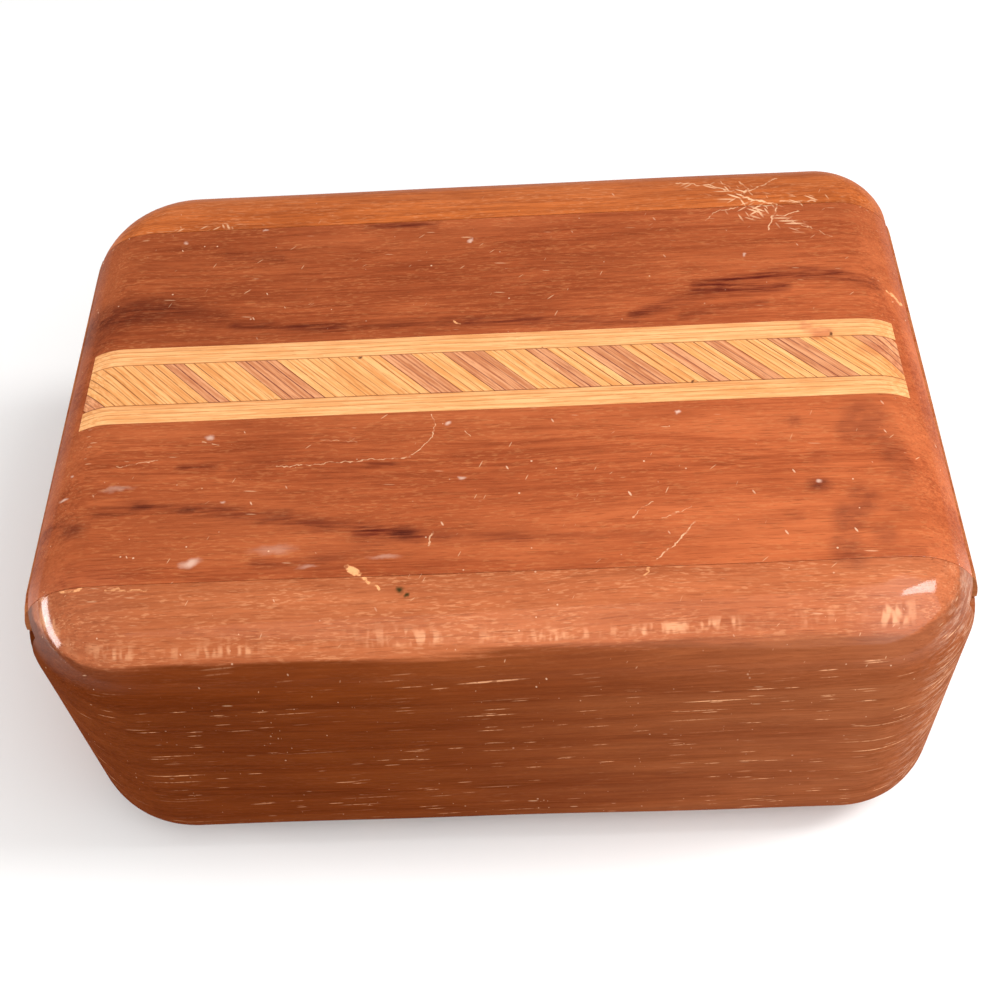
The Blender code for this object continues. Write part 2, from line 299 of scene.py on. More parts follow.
def newGroup(name, inputs, outputs):
    group = bpy.data.node_groups.new(name, "ShaderNodeTree")
    for label, kind, value in inputs:
        socket = group.interface.new_socket(label, in_out="INPUT", socket_type="NodeSocket" + kind)
        socket.default_value = value
    for label, kind in outputs:
        group.interface.new_socket(label, in_out="OUTPUT", socket_type="NodeSocket" + kind)
    start = group.nodes.new("NodeGroupInput")
    end = group.nodes.new("NodeGroupOutput")
    return group, start, end


def useGroup(tree, group, inputs):
    node = put(tree, "Group", node_tree=group)
    for key, value in inputs.items():
        if isinstance(value, bpy.types.NodeSocket):
            tree.links.new(value, node.inputs[key])
        else:
            node.inputs[key].default_value = value
    return node.outputs


def makeSolidWoodGroup():
    # growth bands round a distant pith, fibres, pores and ray flecks, all long in x
    group, start, end = newGroup("solidWood", [
        ("Vector", "Vector", (0, 0, 0)), ("Shift", "Vector", (0, 0, 0)), ("Pith", "Vector", (0, 0.02, -0.07)),
        ("Ring", "Float", 0.004), ("Wander", "Float", 0.003),
    ], [("Growth", "Float"), ("Fibre", "Float"), ("Pores", "Float"), ("Flecks", "Float"), ("Cloud", "Float")])
    place = vectorCalc(group, "ADD", start.outputs["Vector"], start.outputs["Shift"])
    drift = put(group, "TexNoise", {"Vector": vectorCalc(group, "MULTIPLY", place, (16, 55, 55)), "Scale": 1.0,
                                    "Detail": 2.0}).outputs["Color"]
    drift = vectorCalc(group, "SUBTRACT", drift, (0.5, 0.5, 0.5))
    drift = vectorCalc(group, "MULTIPLY", drift, (0, 1, 1))
    scaled = put(group, "VectorMath", {0: drift, "Scale": start.outputs["Wander"]}, operation="SCALE").outputs[0]
    wood = vectorCalc(group, "ADD", place, scaled)
    fromPith = vectorCalc(group, "SUBTRACT", wood, start.outputs["Pith"])
    distance = vectorCalc(group, "LENGTH", vectorCalc(group, "MULTIPLY", fromPith, (0, 1, 1)))
    rings = calc(group, "DIVIDE", distance, start.outputs["Ring"])
    ragged = grainNoise(group, wood, (70, 900, 900), 3.0)
    rings = calc(group, "ADD", rings, times(group, ragged, 0.35))
    turn = calc(group, "FRACT", rings)
    rise = remap(group, turn, 0.0, 0.75)
    fall = remap(group, turn, 0.82, 1.0)
    group.links.new(calc(group, "SUBTRACT", rise, fall, clamp=True), end.inputs["Growth"])
    fine = grainNoise(group, wood, (160, 4200, 4200), 3.0, 0.6)
    coarse = grainNoise(group, wood, (60, 1500, 1500), 2.0, 0.5)
    group.links.new(calc(group, "ADD", times(group, fine, 0.55), times(group, coarse, 0.45)),
                    end.inputs["Fibre"])
    poreNoise = grainNoise(group, wood, (420, 6500, 6500), 1.0, 0.4)
    group.links.new(remap(group, poreNoise, 0.60, 0.72), end.inputs["Pores"])
    fleckNoise = grainNoise(group, wood, (1000, 4600, 5200), 2.0, 0.5)
    patch = grainNoise(group, place, (120, 500, 500), 2.0)
    flecks = times(group, remap(group, fleckNoise, 0.50, 0.66), remap(group, patch, 0.36, 0.62, 0.25, 1.0))
    group.links.new(flecks, end.inputs["Flecks"])
    group.links.new(grainNoise(group, place, (45, 160, 160), 3.0, 0.6), end.inputs["Cloud"])
    return group


solidWood = makeSolidWoodGroup()


def makeStrokeGroup():
    # 1 within Width of the line from Start to End, seen from above, fading at its edge: distance to a segment
    group, start, end = newGroup("stroke", [
        ("Vector", "Vector", (0, 0, 0)), ("Start", "Vector", (0, 0, 0)), ("End", "Vector", (0.001, 0, 0)),
        ("Width", "Float", 0.0001),
    ], [("Mask", "Float")])
    flat = (1, 1, 0)
    fromStart = vectorCalc(group, "MULTIPLY", vectorCalc(group, "SUBTRACT", start.outputs["Vector"],
                                                         start.outputs["Start"]), flat)
    run = vectorCalc(group, "MULTIPLY", vectorCalc(group, "SUBTRACT", start.outputs["End"],
                                                   start.outputs["Start"]), flat)
    share = calc(group, "DIVIDE", vectorCalc(group, "DOT_PRODUCT", fromStart, run),
                 vectorCalc(group, "DOT_PRODUCT", run, run), clamp=True)
    nearest = put(group, "VectorMath", {0: run, "Scale": share}, operation="SCALE").outputs[0]
    away = vectorCalc(group, "DISTANCE", fromStart, nearest)
    edge = calc(group, "DIVIDE", away, start.outputs["Width"])
    group.links.new(remap(group, edge, 0.45, 1.0, 1.0, 0.0), end.inputs["Mask"])
    return group


def makeBlotchGroup():
    # a soft-edged ellipse seen from above: 1 at its middle, 0 at distance 1, measured along two scaled axes
    group, start, end = newGroup("blotch", [
        ("Vector", "Vector", (0, 0, 0)), ("Centre", "Vector", (0, 0, 0)), ("Along", "Vector", (500, 0, 0)),
        ("Over", "Vector", (0, 1000, 0)), ("Core", "Float", 0.4),
    ], [("Mask", "Float")])
    away = vectorCalc(group, "SUBTRACT", start.outputs["Vector"], start.outputs["Centre"])
    along = vectorCalc(group, "DOT_PRODUCT", away, start.outputs["Along"])
    over = vectorCalc(group, "DOT_PRODUCT", away, start.outputs["Over"])
    squares = calc(group, "ADD", times(group, along, along), times(group, over, over))
    group.links.new(remap(group, calc(group, "SQRT", squares), start.outputs["Core"], 1.0, 1.0, 0.0),
                    end.inputs["Mask"])
    return group


def blotchAt(tree, vector, centre, size, turn, core):
    # half sizes in millimetres, turned anticlockwise by degrees
    angle = math.radians(turn)
    along = (math.cos(angle) / (size[0] * mm), math.sin(angle) / (size[0] * mm), 0)
    over = (-math.sin(angle) / (size[1] * mm), math.cos(angle) / (size[1] * mm), 0)
    return useGroup(tree, blotchGroup, {"Vector": vector, "Centre": (centre[0] * mm, centre[1] * mm, 0),
                                        "Along": along, "Over": over, "Core": core})["Mask"]


def makeSpeckGroup():
    # scattered specks: cells of a stretched Voronoi pattern, a share of them filled to Size
    group, start, end = newGroup("specks", [
        ("Vector", "Vector", (0, 0, 0)), ("Turn", "Float", 0.0), ("Stretch", "Vector", (500, 500, 500)),
        ("Size", "Float", 0.1), ("Share", "Float", 0.3),
    ], [("Mask", "Float"), ("Random", "Float")])
    turned = put(group, "VectorRotate", {"Vector": start.outputs["Vector"], "Angle": start.outputs["Turn"]},
                 rotation_type="Z_AXIS").outputs[0]
    cells = put(group, "TexVoronoi", {"Vector": vectorCalc(group, "MULTIPLY", turned, start.outputs["Stretch"]),
                                      "Scale": 1.0, "Randomness": 1.0})
    random = put(group, "SeparateColor", {0: cells.outputs["Color"]})
    size = times(group, start.outputs["Size"],
                calc(group, "ADD", times(group, random.outputs[1], 1.1), 0.25))
    filled = calc(group, "LESS_THAN", random.outputs[0], start.outputs["Share"])
    spot = remap(group, calc(group, "DIVIDE", cells.outputs["Distance"], size), 0.5, 1.0, 1.0, 0.0)
    group.links.new(times(group, spot, filled), end.inputs["Mask"])
    group.links.new(random.outputs[2], end.inputs["Random"])
    return group


strokeGroup, blotchGroup, speckGroup = makeStrokeGroup(), makeBlotchGroup(), makeSpeckGroup()



def specksOver(tree, vector, layers):
    # several layers of specks, each (turn, stretch, size, share), the strongest at each point
    total = 0.0
    for turn, stretch, size, share in layers:
        mask = useGroup(tree, speckGroup, {"Vector": vector, "Turn": turn, "Stretch": stretch, "Size": size,
                                           "Share": share})["Mask"]
        total = calc(tree, "MAXIMUM", mask, total)
    return total


# marks on the top, in millimetres from the middle of the box: strokes are (from, to, half width, strength)
topMarks = {
    "lidScratches": [
        ((35.6, 27.6), (38.0, 27.3), 0.16, 0.9), ((38.0, 27.4), (37.2, 25.2), 0.15, 0.9),
        ((37.2, 25.2), (36.2, 23.0), 0.12, 0.8), ((37.2, 25.2), (40.6, 26.0), 0.13, 0.8),
        ((38.2, 24.6), (41.4, 23.2), 0.12, 0.8), ((41.4, 23.2), (44.0, 21.0), 0.08, 0.5),
        ((28.2, 25.2), (30.4, 27.0), 0.11, 0.7), ((30.4, 27.0), (33.4, 27.5), 0.12, 0.7),
        ((22.6, -22.8), (20.4, -25.6), 0.13, 0.9), ((20.4, -25.6), (18.0, -27.6), 0.11, 0.8),
        ((18.4, -19.9), (16.8, -20.6), 0.08, 0.8), ((16.8, -20.6), (15.9, -22.0), 0.08, 0.7),
        ((19.0, -22.2), (22.6, -20.7), 0.08, 0.6), ((-43.6, -12.0), (-38.6, -11.2), 0.08, 0.6),
        ((-33.8, -8.6), (-31.8, -9.4), 0.09, 0.6), ((-19.8, -9.2), (-15.6, -9.6), 0.08, 0.5),
        ((-24.6, -13.0), (-9.2, -12.2), 0.08, 0.7), ((-2.9, -8.7), (-2.2, -9.6), 0.11, 0.7),
        ((-6.8, -24.8), (-6.5, -22.9), 0.12, 0.7),
        ((-6.9, -6.0), (-6.3, -7.6), 0.08, 0.8), ((-6.3, -7.6), (-6.6, -9.4), 0.08, 0.9),
        ((-6.6, -9.4), (-7.6, -10.8), 0.08, 0.9), ((-7.6, -10.8), (-9.2, -12.0), 0.08, 0.9),
    ],
    "backScratches": [
        ((25.0, 33.0), (29.5, 32.0), 0.15, 0.7), ((29.5, 32.0), (33.0, 30.0), 0.17, 0.9),
        ((33.0, 30.0), (35.0, 28.6), 0.20, 1.0), ((35.0, 28.6), (38.0, 27.4), 0.16, 1.0),
        ((34.0, 30.2), (36.6, 31.4), 0.16, 0.8), ((36.6, 31.4), (38.6, 33.0), 0.15, 0.6),
        ((35.0, 29.6), (33.6, 32.6), 0.12, 0.6), ((33.2, 27.8), (35.0, 28.6), 0.13, 0.9),
        ((31.0, 33.0), (32.6, 30.6), 0.11, 0.5), ((38.4, 28.2), (43.0, 27.8), 0.17, 0.6),
    ],
    "lidSplinters": [
        ((-15.6, -27.1), (-14.4, -28.2), 0.34, 1.0), ((50.0, 12.4), (51.6, 11.6), 0.34, 0.9),
        ((-4.4, 8.9), (-3.6, 8.4), 0.14, 0.8),
    ],
    "frontSplinters": [
        ((-14.6, -28.0), (-13.4, -28.9), 0.34, 1.0), ((-13.4, -28.9), (-11.9, -30.1), 0.26, 0.9),
        ((-47.2, -28.6), (-45.0, -28.8), 0.26, 0.8), ((-42.0, -28.9), (-37.6, -29.3), 0.16, 0.5),
        ((18.0, -27.6), (16.4, -29.6), 0.14, 0.6),
    ],
    "growthLines": [
        ((-52.0, -19.4), (-47.0, -19.2), 1.3, 0.52), ((-47.0, -19.2), (-40.0, -17.8), 1.2, 0.57),
        ((-40.0, -17.8), (-33.0, -18.6), 0.9, 0.63), ((-33.0, -18.6), (-23.0, -20.6), 1.2, 0.69),
        ((-23.0, -20.6), (-15.0, -22.2), 1.3, 0.75), ((-15.0, -22.2), (-8.0, -23.4), 1.3, 1.00),
        ((-8.0, -23.4), (4.0, -24.2), 1.0, 0.57), ((4.0, -24.2), (20.0, -24.4), 0.9, 0.40),
        ((20.0, -24.4), (34.0, -22.6), 1.0, 0.34), ((-32.0, 10.0), (-18.0, 8.9), 1.0, 0.86),
        ((-18.0, 8.9), (-4.0, 8.7), 0.7, 0.63), ((-6.0, 8.9), (6.0, 8.5), 0.9, 0.92),
        ((6.0, 8.5), (18.0, 7.5), 1.0, 0.69), ((18.0, 8.8), (24.0, 10.8), 1.2, 0.80),
        ((24.0, 10.8), (30.0, 13.0), 1.4, 0.92), ((24.0, 8.4), (34.0, 9.8), 0.9, 0.57),
        ((26.0, 13.2), (35.0, 14.6), 1.2, 0.98), ((30.0, 12.2), (37.0, 12.4), 1.0, 0.92),
        ((36.0, 14.8), (44.0, 14.2), 1.3, 1.00), ((38.0, 15.6), (41.0, 15.4), 0.7, 0.69),
        ((44.0, 14.0), (48.5, 12.8), 1.2, 0.92), ((-12.0, -23.8), (-19.0, -26.0), 2.3, 0.40),
        ((-26.0, -26.4), (-16.0, -26.8), 0.9, 0.57), ((-52.0, 12.6), (-42.0, 13.4), 3.2, 0.57),
        ((-42.0, 13.4), (-34.0, 11.2), 2.3, 0.46), ((-16.0, 27.0), (-7.0, 26.6), 0.7, 0.92),
        ((-34.0, 22.6), (-27.0, 21.6), 1.0, 0.46), ((-36.0, -12.3), (-32.0, -12.7), 0.5, 0.69),
        ((-30.0, -13.0), (-24.0, -12.2), 0.5, 0.57), ((-14.0, -12.9), (-11.0, -13.1), 0.5, 0.69),
    ],
    "stains": [                        # (centre, size, turn in degrees, strength)
        ((43.6, -9.6), (2.9, 3.6), 18, 0.42), ((45.4, -13.4), (1.9, 4.2), 20, 0.40),
        ((46.2, -17.0), (1.4, 2.4), 0, 0.35),
        ((41.2, -10.6), (1.5, 2.0), 0, 0.40), ((35.3, -9.0), (0.9, 0.8), 0, 0.55),
        ((36.8, -18.4), (1.5, 1.0), 0, 0.75), ((37.4, -14.6), (1.2, 1.4), 30, 0.25),
        ((39.6, -23.0), (2.1, 2.4), -30, 0.50), ((41.4, -20.6), (1.8, 2.0), 20, 0.50),
        ((38.6, -27.4), (1.9, 2.6), 10, 0.42), ((42.8, -25.2), (1.6, 1.7), 0, 0.32),
        ((44.6, -22.0), (2.6, 0.8), -25, 0.30), ((-47.6, -20.6), (1.4, 1.2), -40, 0.6),
        ((-39.8, -17.9), (1.3, 0.6), 0, 0.75), ((-9.6, -22.9), (1.5, 0.8), 0, 0.8),
        ((-34.4, -18.5), (1.1, 0.5), 0, 0.6), ((-24.0, -19.6), (2.0, 0.7), 0, 0.4),
        ((-45.0, 13.0), (8.0, 2.6), 3, 0.35), ((-50.0, 12.0), (4.0, 4.0), 0, 0.30),
    ],
    "scuffs": [
        ((-32.9, -8.0), (1.0, 0.7), 0, 0.7), ((-33.2, -25.9), (1.6, 0.8), 20, 0.8),
        ((-4.8, -7.5), (0.5, 0.4), 0, 0.8), ((22.0, -7.1), (0.42, 0.38), 0, 1.0),
        ((-3.1, -15.5), (0.6, 0.4), 0, 0.7), ((-49.4, -15.6), (0.9, 0.35), 0, 0.8),
        ((-49.0, -12.4), (0.4, 0.3), 0, 0.6), ((-2.3, 23.4), (0.6, 0.35), 40, 0.8),
        ((-30.4, -17.7), (0.45, 0.3), 0, 0.6), ((-40.0, 25.4), (0.5, 0.4), 0, 0.6),
        ((36.9, -18.0), (0.45, 0.35), 0, 0.8), ((-43.0, -15.2), (2.6, 0.6), 5, 0.3),
        ((-24.0, -24.6), (3.4, 1.0), 0, 0.25), ((-11.6, -26.0), (2.4, 0.5), 0, 0.3),
        ((-20.0, -26.9), (1.6, 0.4), 10, 0.3), ((32.6, 18.4), (0.35, 0.4), 0, 0.7),
        ((-29.6, 27.0), (0.5, 0.3), 0, 0.6),
    ],
    "frayedLid": [((35.0, 27.0), (5.5, 2.6), 20, 0.9), ((39.0, 24.0), (3.5, 1.8), -30, 0.7),
                  ((43.0, 27.4), (5.0, 0.8), 0, 0.8)],
    "frayedBack": [((33.5, 29.6), (6.0, 2.8), -25, 1.0), ((29.0, 32.0), (5.0, 1.6), -15, 0.7),
                   ((41.0, 28.6), (7.0, 1.3), 3, 0.8), ((-38.0, 28.2), (11.0, 0.7), 0, 0.7)],
    "darkSpecks": [((-9.7, -30.5), (0.85, 0.62), 20, 1.0), ((-8.9, -30.9), (0.5, 0.3), 40, 1.0)],
}


def strokeShade(points, marks):
    # strength of the nearest line at each point, fading to nothing at its half width
    total = np.zeros(len(points))
    for start, end, width, strength in marks:
        start, run = np.array(start) * mm, (np.array(end) - np.array(start)) * mm
        share = np.clip((points[:, :2] - start) @ run / (run @ run), 0, 1)
        away = np.hypot(*(points[:, :2] - start - share[:, None] * run).T)
        total = np.maximum(total, strength * smooth(1.2 - away / (width * mm)))
    return total


def blotchShade(points, marks):
    # strength of each turned ellipse, fading towards its rim
    total = np.zeros(len(points))
    for centre, size, turn, strength in marks:
        angle = math.radians(turn)
        away = points[:, :2] - np.array(centre) * mm
        along = (away[:, 0] * math.cos(angle) + away[:, 1] * math.sin(angle)) / (size[0] * mm)
        over = (away[:, 1] * math.cos(angle) - away[:, 0] * math.sin(angle)) / (size[1] * mm)
        total = np.maximum(total, strength * smooth(1.6 - 1.2 * np.hypot(along, over)))
    return total


def paintMarks(piece):
    # the soft marks go into the mesh: how much of each lies at every point of the top
    mesh = piece.data
    points = np.empty(len(mesh.vertices) * 3)
    mesh.vertices.foreach_get("co", points)
    points = points.reshape(-1, 3)
    above = smooth((points[:, 2] - 36 * mm) / (4 * mm))
    for name, shade in (("growthLine", strokeShade(points, topMarks["growthLines"])),
                        ("stain", blotchShade(points, topMarks["stains"]))):
        mesh.attributes.new(name, "FLOAT", "POINT").data.foreach_set("value", shade * above)


def makeWearGroup():
    # dust, short scratches and hairline marks from everyday handling, denser where a cloudy pattern allows
    group, start, end = newGroup("wear", [("Vector", "Vector", (0, 0, 0)), ("Amount", "Float", 1.0)],
                                 [("Dust", "Float"), ("Lines", "Float")])
    place = start.outputs["Vector"]
    crowd = remap(group, grainNoise(group, place, (55, 70, 70), 2.0), 0.35, 0.62, 0.35, 1.0)
    dust = specksOver(group, place, ((0.3, (620, 620, 620), 0.075, 0.42), (1.1, (300, 900, 600), 0.10, 0.16)))
    lines = specksOver(group, place, ((2.0, (240, 1900, 700), 0.12, 0.14), (-0.7, (220, 2000, 700), 0.12, 0.13),
                                      (0.08, (190, 1900, 900), 0.14, 0.24)))
    amount = times(group, crowd, start.outputs["Amount"])
    group.links.new(times(group, dust, amount), end.inputs["Dust"])
    group.links.new(times(group, lines, amount), end.inputs["Lines"])
    return group


wearGroup = makeWearGroup()


def newMaterial(name, **constants):
    material = bpy.data.materials.new(name)
    material.use_nodes = True
    tree = material.node_tree
    shader = tree.nodes["Principled BSDF"]
    for key, value in constants.items():
        shader.inputs[key].default_value = value
    place = tree.nodes.new("ShaderNodeTexCoord").outputs["Object"]
    return material, tree, shader, place


def attributeOf(tree, name):
    return put(tree, "Attribute", attribute_name=name).outputs["Fac"]


def wavered(tree, place, fineness, reach):
    shift = put(tree, "TexNoise", {"Vector": vectorCalc(tree, "MULTIPLY", place, (fineness,) * 3), "Scale": 1.0,
                                   "Detail": 2.0}).outputs["Color"]
    shift = vectorCalc(tree, "MULTIPLY", vectorCalc(tree, "SUBTRACT", shift, (0.5, 0.5, 0.5)), (reach, reach, 0))
    return vectorCalc(tree, "ADD", place, shift)


def strokesOver(tree, place, marks):
    # the crisp scratches of one piece, each a line broken up along its length
    vector = wavered(tree, place, 800, 1.3 * mm)
    total = 0.0
    for (x0, y0), (x1, y1), width, strength in marks:
        mask = useGroup(tree, strokeGroup, {"Vector": vector, "Start": (x0 * mm, y0 * mm, 0),
                                            "End": (x1 * mm, y1 * mm, 0), "Width": width * mm})["Mask"]
        total = calc(tree, "MAXIMUM", times(tree, mask, strength), total)
    broken = remap(tree, grainNoise(tree, place, (1300, 1300, 1300), 3.0), 0.36, 0.56, 0.12, 1.0)
    return times(tree, total, broken)


def blotchesOver(tree, place, marks, core):
    vector = wavered(tree, place, 700, 1.3 * mm)
    total = 0.0
    for centre, size, turn, strength in marks:
        mask = blotchAt(tree, vector, centre, size, turn, core)
        total = calc(tree, "MAXIMUM", times(tree, mask, strength), total)
    return total


markTints = {
    "growth": (0.26, 0.13, 0.22), "stain": (0.28, 0.22, 0.38), "scuff": (0.80, 0.56, 0.44),
    "splinter": (0.86, 0.40, 0.17), "scratch": (0.86, 0.52, 0.30), "dust": (0.88, 0.56, 0.36),
    "speck": (0.045, 0.030, 0.008),
}


def addMarks(tree, place, colour, look):
    # growth lines, stains, frayed patches, scuffs, scratches and dust, laid over the wood in that order
    tints = markTints
    streaked = remap(tree, grainNoise(tree, place, (150, 2200, 2200), 4.0, 0.65), 0.36, 0.60, 0.30, 1.0)
    patchy = remap(tree, grainNoise(tree, place, (160, 420, 420), 2.0), 0.32, 0.56, 0.50, 1.0)
    growth = times(tree, attributeOf(tree, "growthLine"), times(tree, streaked, patchy))
    colour = blendColour(tree, growth, colour, (*tints["growth"], 1), "MULTIPLY")
    ragged = remap(tree, grainNoise(tree, place, (380, 700, 700), 4.0, 0.65), 0.32, 0.58, 0.40, 1.0)
    stain = times(tree, attributeOf(tree, "stain"), ragged)
    colour = blendColour(tree, stain, colour, (*tints["stain"], 1), "MULTIPLY")
    if look.get("frayed"):
        near = blotchesOver(tree, place, look["frayed"], 0.2)
        fibres = specksOver(tree, place, [(turn, stretch, 0.30, 0.6) for turn, stretch in (
            (0.5, (300, 2000, 700)), (-0.6, (260, 1900, 700)), (1.2, (330, 1900, 700)), (0.05, (220, 1900, 700)))])
        frayed = times(tree, times(tree, fibres, near), 0.85)
        colour = blendColour(tree, frayed, colour, (*tints["scratch"], 1))
    wear = useGroup(tree, wearGroup, {"Vector": place, "Amount": look["wear"]})
    colour = blendColour(tree, times(tree, wear["Lines"], 0.5), colour, (*tints["scratch"], 1))
    for name, share in (("scuffs", 0.75), ("scratches", 0.8), ("splinters", 1.0), ("darkSpecks", 1.0)):
        marks = look.get(name)
        if not marks:
            continue
        rounded = name in ("scuffs", "darkSpecks")
        mask = blotchesOver(tree, place, marks, 0.1) if rounded else strokesOver(tree, place, marks)
        tint = {"scuffs": "scuff", "scratches": "scratch", "splinters": "splinter", "darkSpecks": "speck"}[name]
        above = remap(tree, put(tree, "SeparateXYZ", {0: place}).outputs[2], 0.036, 0.039)
        colour = blendColour(tree, times(tree, times(tree, mask, share), above), colour,
                             (*tints[tint], 1))
    return blendColour(tree, times(tree, wear["Dust"], 0.7), colour, (*tints["dust"], 1))


def boardWood(name, look):
    # varnished solid wood: growth bands, fibres, clouds, ray flecks and pores, then this board's marks and wear
    material, tree, shader, place = newMaterial(name)
    shader.inputs["Coat Weight"].default_value = look["varnish"]
    shader.inputs["Coat Roughness"].default_value = look["varnishRoughness"]
    shader.inputs["Specular IOR Level"].default_value = look["specular"]
    vector = place
    if look.get("across"):
        vector = put(tree, "VectorRotate", {"Vector": place, "Angle": math.pi / 2}, rotation_type="Z_AXIS").outputs[0]
    wood = useGroup(tree, solidWood, {"Vector": vector, "Shift": look["shift"], "Pith": look["pith"],
                                      "Ring": look["ring"], "Wander": look["wander"]})
    colour = blendColour(tree, remap(tree, wood["Fibre"], 0.34, 0.66), (*look["dark"], 1), (*look["mid"], 1))
    colour = blendColour(tree, times(tree, wood["Growth"], look["bandStrength"]), colour,
                         (*look["light"], 1))
    clouded = blendColour(tree, remap(tree, wood["Cloud"], 0.35, 0.65), (*look["low"], 1), (1, 1, 1, 1))
    colour = blendColour(tree, 1.0, colour, clouded, "MULTIPLY")
    flecks = times(tree, wood["Flecks"], look["fleckStrength"])
    if look.get("shaded"):
        colour, flecked = look["shaded"](tree, place, colour)
        flecks = times(tree, flecks, flecked)
    colour = blendColour(tree, flecks, colour, (*look["fleck"], 1))
    colour = blendColour(tree, times(tree, wood["Pores"], look["poreStrength"]), colour,
                         (*look["pore"], 1))
    if look.get("marked"):
        colour = addMarks(tree, place, colour, look)
    height = calc(tree, "SUBTRACT", times(tree, wood["Fibre"], 0.5), wood["Pores"])
    tree.links.new(colour, shader.inputs["Base Color"])
    rough = remap(tree, wood["Fibre"], 0.3, 0.7, look["roughness"] - 0.06, look["roughness"] + 0.06)
    tree.links.new(rough, shader.inputs["Roughness"])
    if look.get("varnished"):
        tree.links.new(look["varnished"](tree, place), shader.inputs["Coat Weight"])
    bump = put(tree, "Bump", {"Height": height, "Strength": look["bump"], "Distance": 0.00004})
    tree.links.new(bump.outputs[0], shader.inputs["Normal"])
    return material


def frontFaceShade(tree, place, colour):
    # painted shade: below a wavy line on the round-over the board is painted dark brown for the shade on the front
    # face, paler and greyer to the right as a painted haze of reflected light
    split = put(tree, "SeparateXYZ", {0: place})
    edge = grainNoise(tree, place, (40, 400, 900), 3.0, 0.6)
    level = calc(tree, "ADD", split.outputs[2], times(tree, calc(tree, "SUBTRACT", edge, 0.5), 0.0022))
    level = calc(tree, "SUBTRACT", level, times(tree, split.outputs[0], 0.010))
    below = remap(tree, level, 0.0435, 0.0427)
    above = calc(tree, "SUBTRACT", 1.0, below)
    # painted shade and haze: a multiplier from dark brown at the left to pale grey at the right, laid only below the
    # line
    across = remap(tree, split.outputs[0], -0.02, 0.052)
    tint = blendColour(tree, across, (0.40, 0.30, 0.15, 1), (0.66, 0.68, 0.66, 1))
    colour = blendColour(tree, below, colour, blendColour(tree, 1.0, colour, tint, "MULTIPLY"))
    # a row of short pale rays across the grain, just above that line
    row = times(tree, remap(tree, level, 0.0434, 0.0440), remap(tree, level, 0.0450, 0.0443))
    rays = remap(tree, grainNoise(tree, place, (1250, 500, 500), 1.0), 0.42, 0.66)
    rays = times(tree, rays, remap(tree, grainNoise(tree, place, (150, 60, 60), 1.0), 0.34, 0.58, 0.12, 1.0))
    colour = blendColour(tree, times(tree, times(tree, row, rays), 0.72), colour,
                         (0.80, 0.36, 0.17, 1))
    # long pale pores, sloping a little down to the right
    tilted = put(tree, "VectorRotate", {"Vector": place, "Angle": 0.05}, rotation_type="Y_AXIS").outputs[0]
    pores = specksOver(tree, tilted, ((0.0, (48, 60, 1500), 0.21, 0.24), (0.0, (100, 90, 2100), 0.24, 0.30),
                                      (0.0, (240, 160, 3000), 0.26, 0.22)))
    crowd = remap(tree, grainNoise(tree, tilted, (38, 200, 330), 2.0), 0.40, 0.58, 0.15, 1.0)
    broken = remap(tree, grainNoise(tree, tilted, (1500, 1500, 2600), 2.0), 0.36, 0.54, 0.25, 1.0)
    dashes = times(tree, times(tree, pores, crowd), times(tree, broken, below))
    colour = blendColour(tree, times(tree, dashes, 0.95), colour, (0.76, 0.36, 0.17, 1))
    # rubbed pale where the hand holds the right front corner
    rubbed = remap(tree, calc(tree, "ADD", split.outputs[0], times(tree, split.outputs[1], -0.35)),
                   0.0585, 0.0625)
    rubbed = times(tree, rubbed, remap(tree, split.outputs[1], -0.026, -0.031))
    scraped = remap(tree, grainNoise(tree, tilted, (500, 500, 2600), 4.0, 0.65), 0.46, 0.64)
    rubbed = times(tree, times(tree, rubbed, scraped), below)
    colour = blendColour(tree, times(tree, rubbed, 0.30), colour, (0.80, 0.50, 0.32, 1))
    # painted sheen: the whole front board is painted darker at the left and paler and bluer at the right, for the light
    # and haze falling on it from the right
    side = remap(tree, split.outputs[0], -0.05, 0.05)
    paintedSheenTone = blendColour(tree, side, (0.86, 0.86, 0.90, 1), (1.10, 1.14, 1.25, 1))
    colour = blendColour(tree, 1.0, colour, paintedSheenTone, "MULTIPLY")
    return colour, calc(tree, "ADD", times(tree, above, 0.92), 0.08)


def lidShade(tree, place, colour):
    # painted light: the board is painted darker towards the back left and lighter towards the front right, for the
    # light falling from the front right
    split = put(tree, "SeparateXYZ", {0: place})
    slope = calc(tree, "ADD", times(tree, split.outputs[0], 8.0),
                 times(tree, split.outputs[1], -9.0))
    uneven = grainNoise(tree, place, (22, 60, 60), 2.0)
    slope = calc(tree, "ADD", slope, times(tree, calc(tree, "SUBTRACT", uneven, 0.5), 1.2))
    tone = blendColour(tree, remap(tree, slope, -0.6, 0.6), (0.78, 0.72, 0.68, 1), (1.16, 1.12, 1.12, 1))
    return blendColour(tree, 1.0, colour, tone, "MULTIPLY"), 1.0


def cornerVarnish(tree, place):
    # thick varnish on the two front top corners, thin on the rest of the top, almost none below the round-over
    split = put(tree, "SeparateXYZ", {0: place})
    outwards = calc(tree, "ABSOLUTE", split.outputs[0])
    corner = times(tree, remap(tree, outwards, 0.036, 0.043),
                   remap(tree, split.outputs[1], -0.024, -0.029))
    top = remap(tree, split.outputs[2], 0.0395, 0.0425)
    thick = calc(tree, "ADD", times(tree, corner, 0.42), 0.14)
    return calc(tree, "ADD", times(tree, thick, top), 0.02)


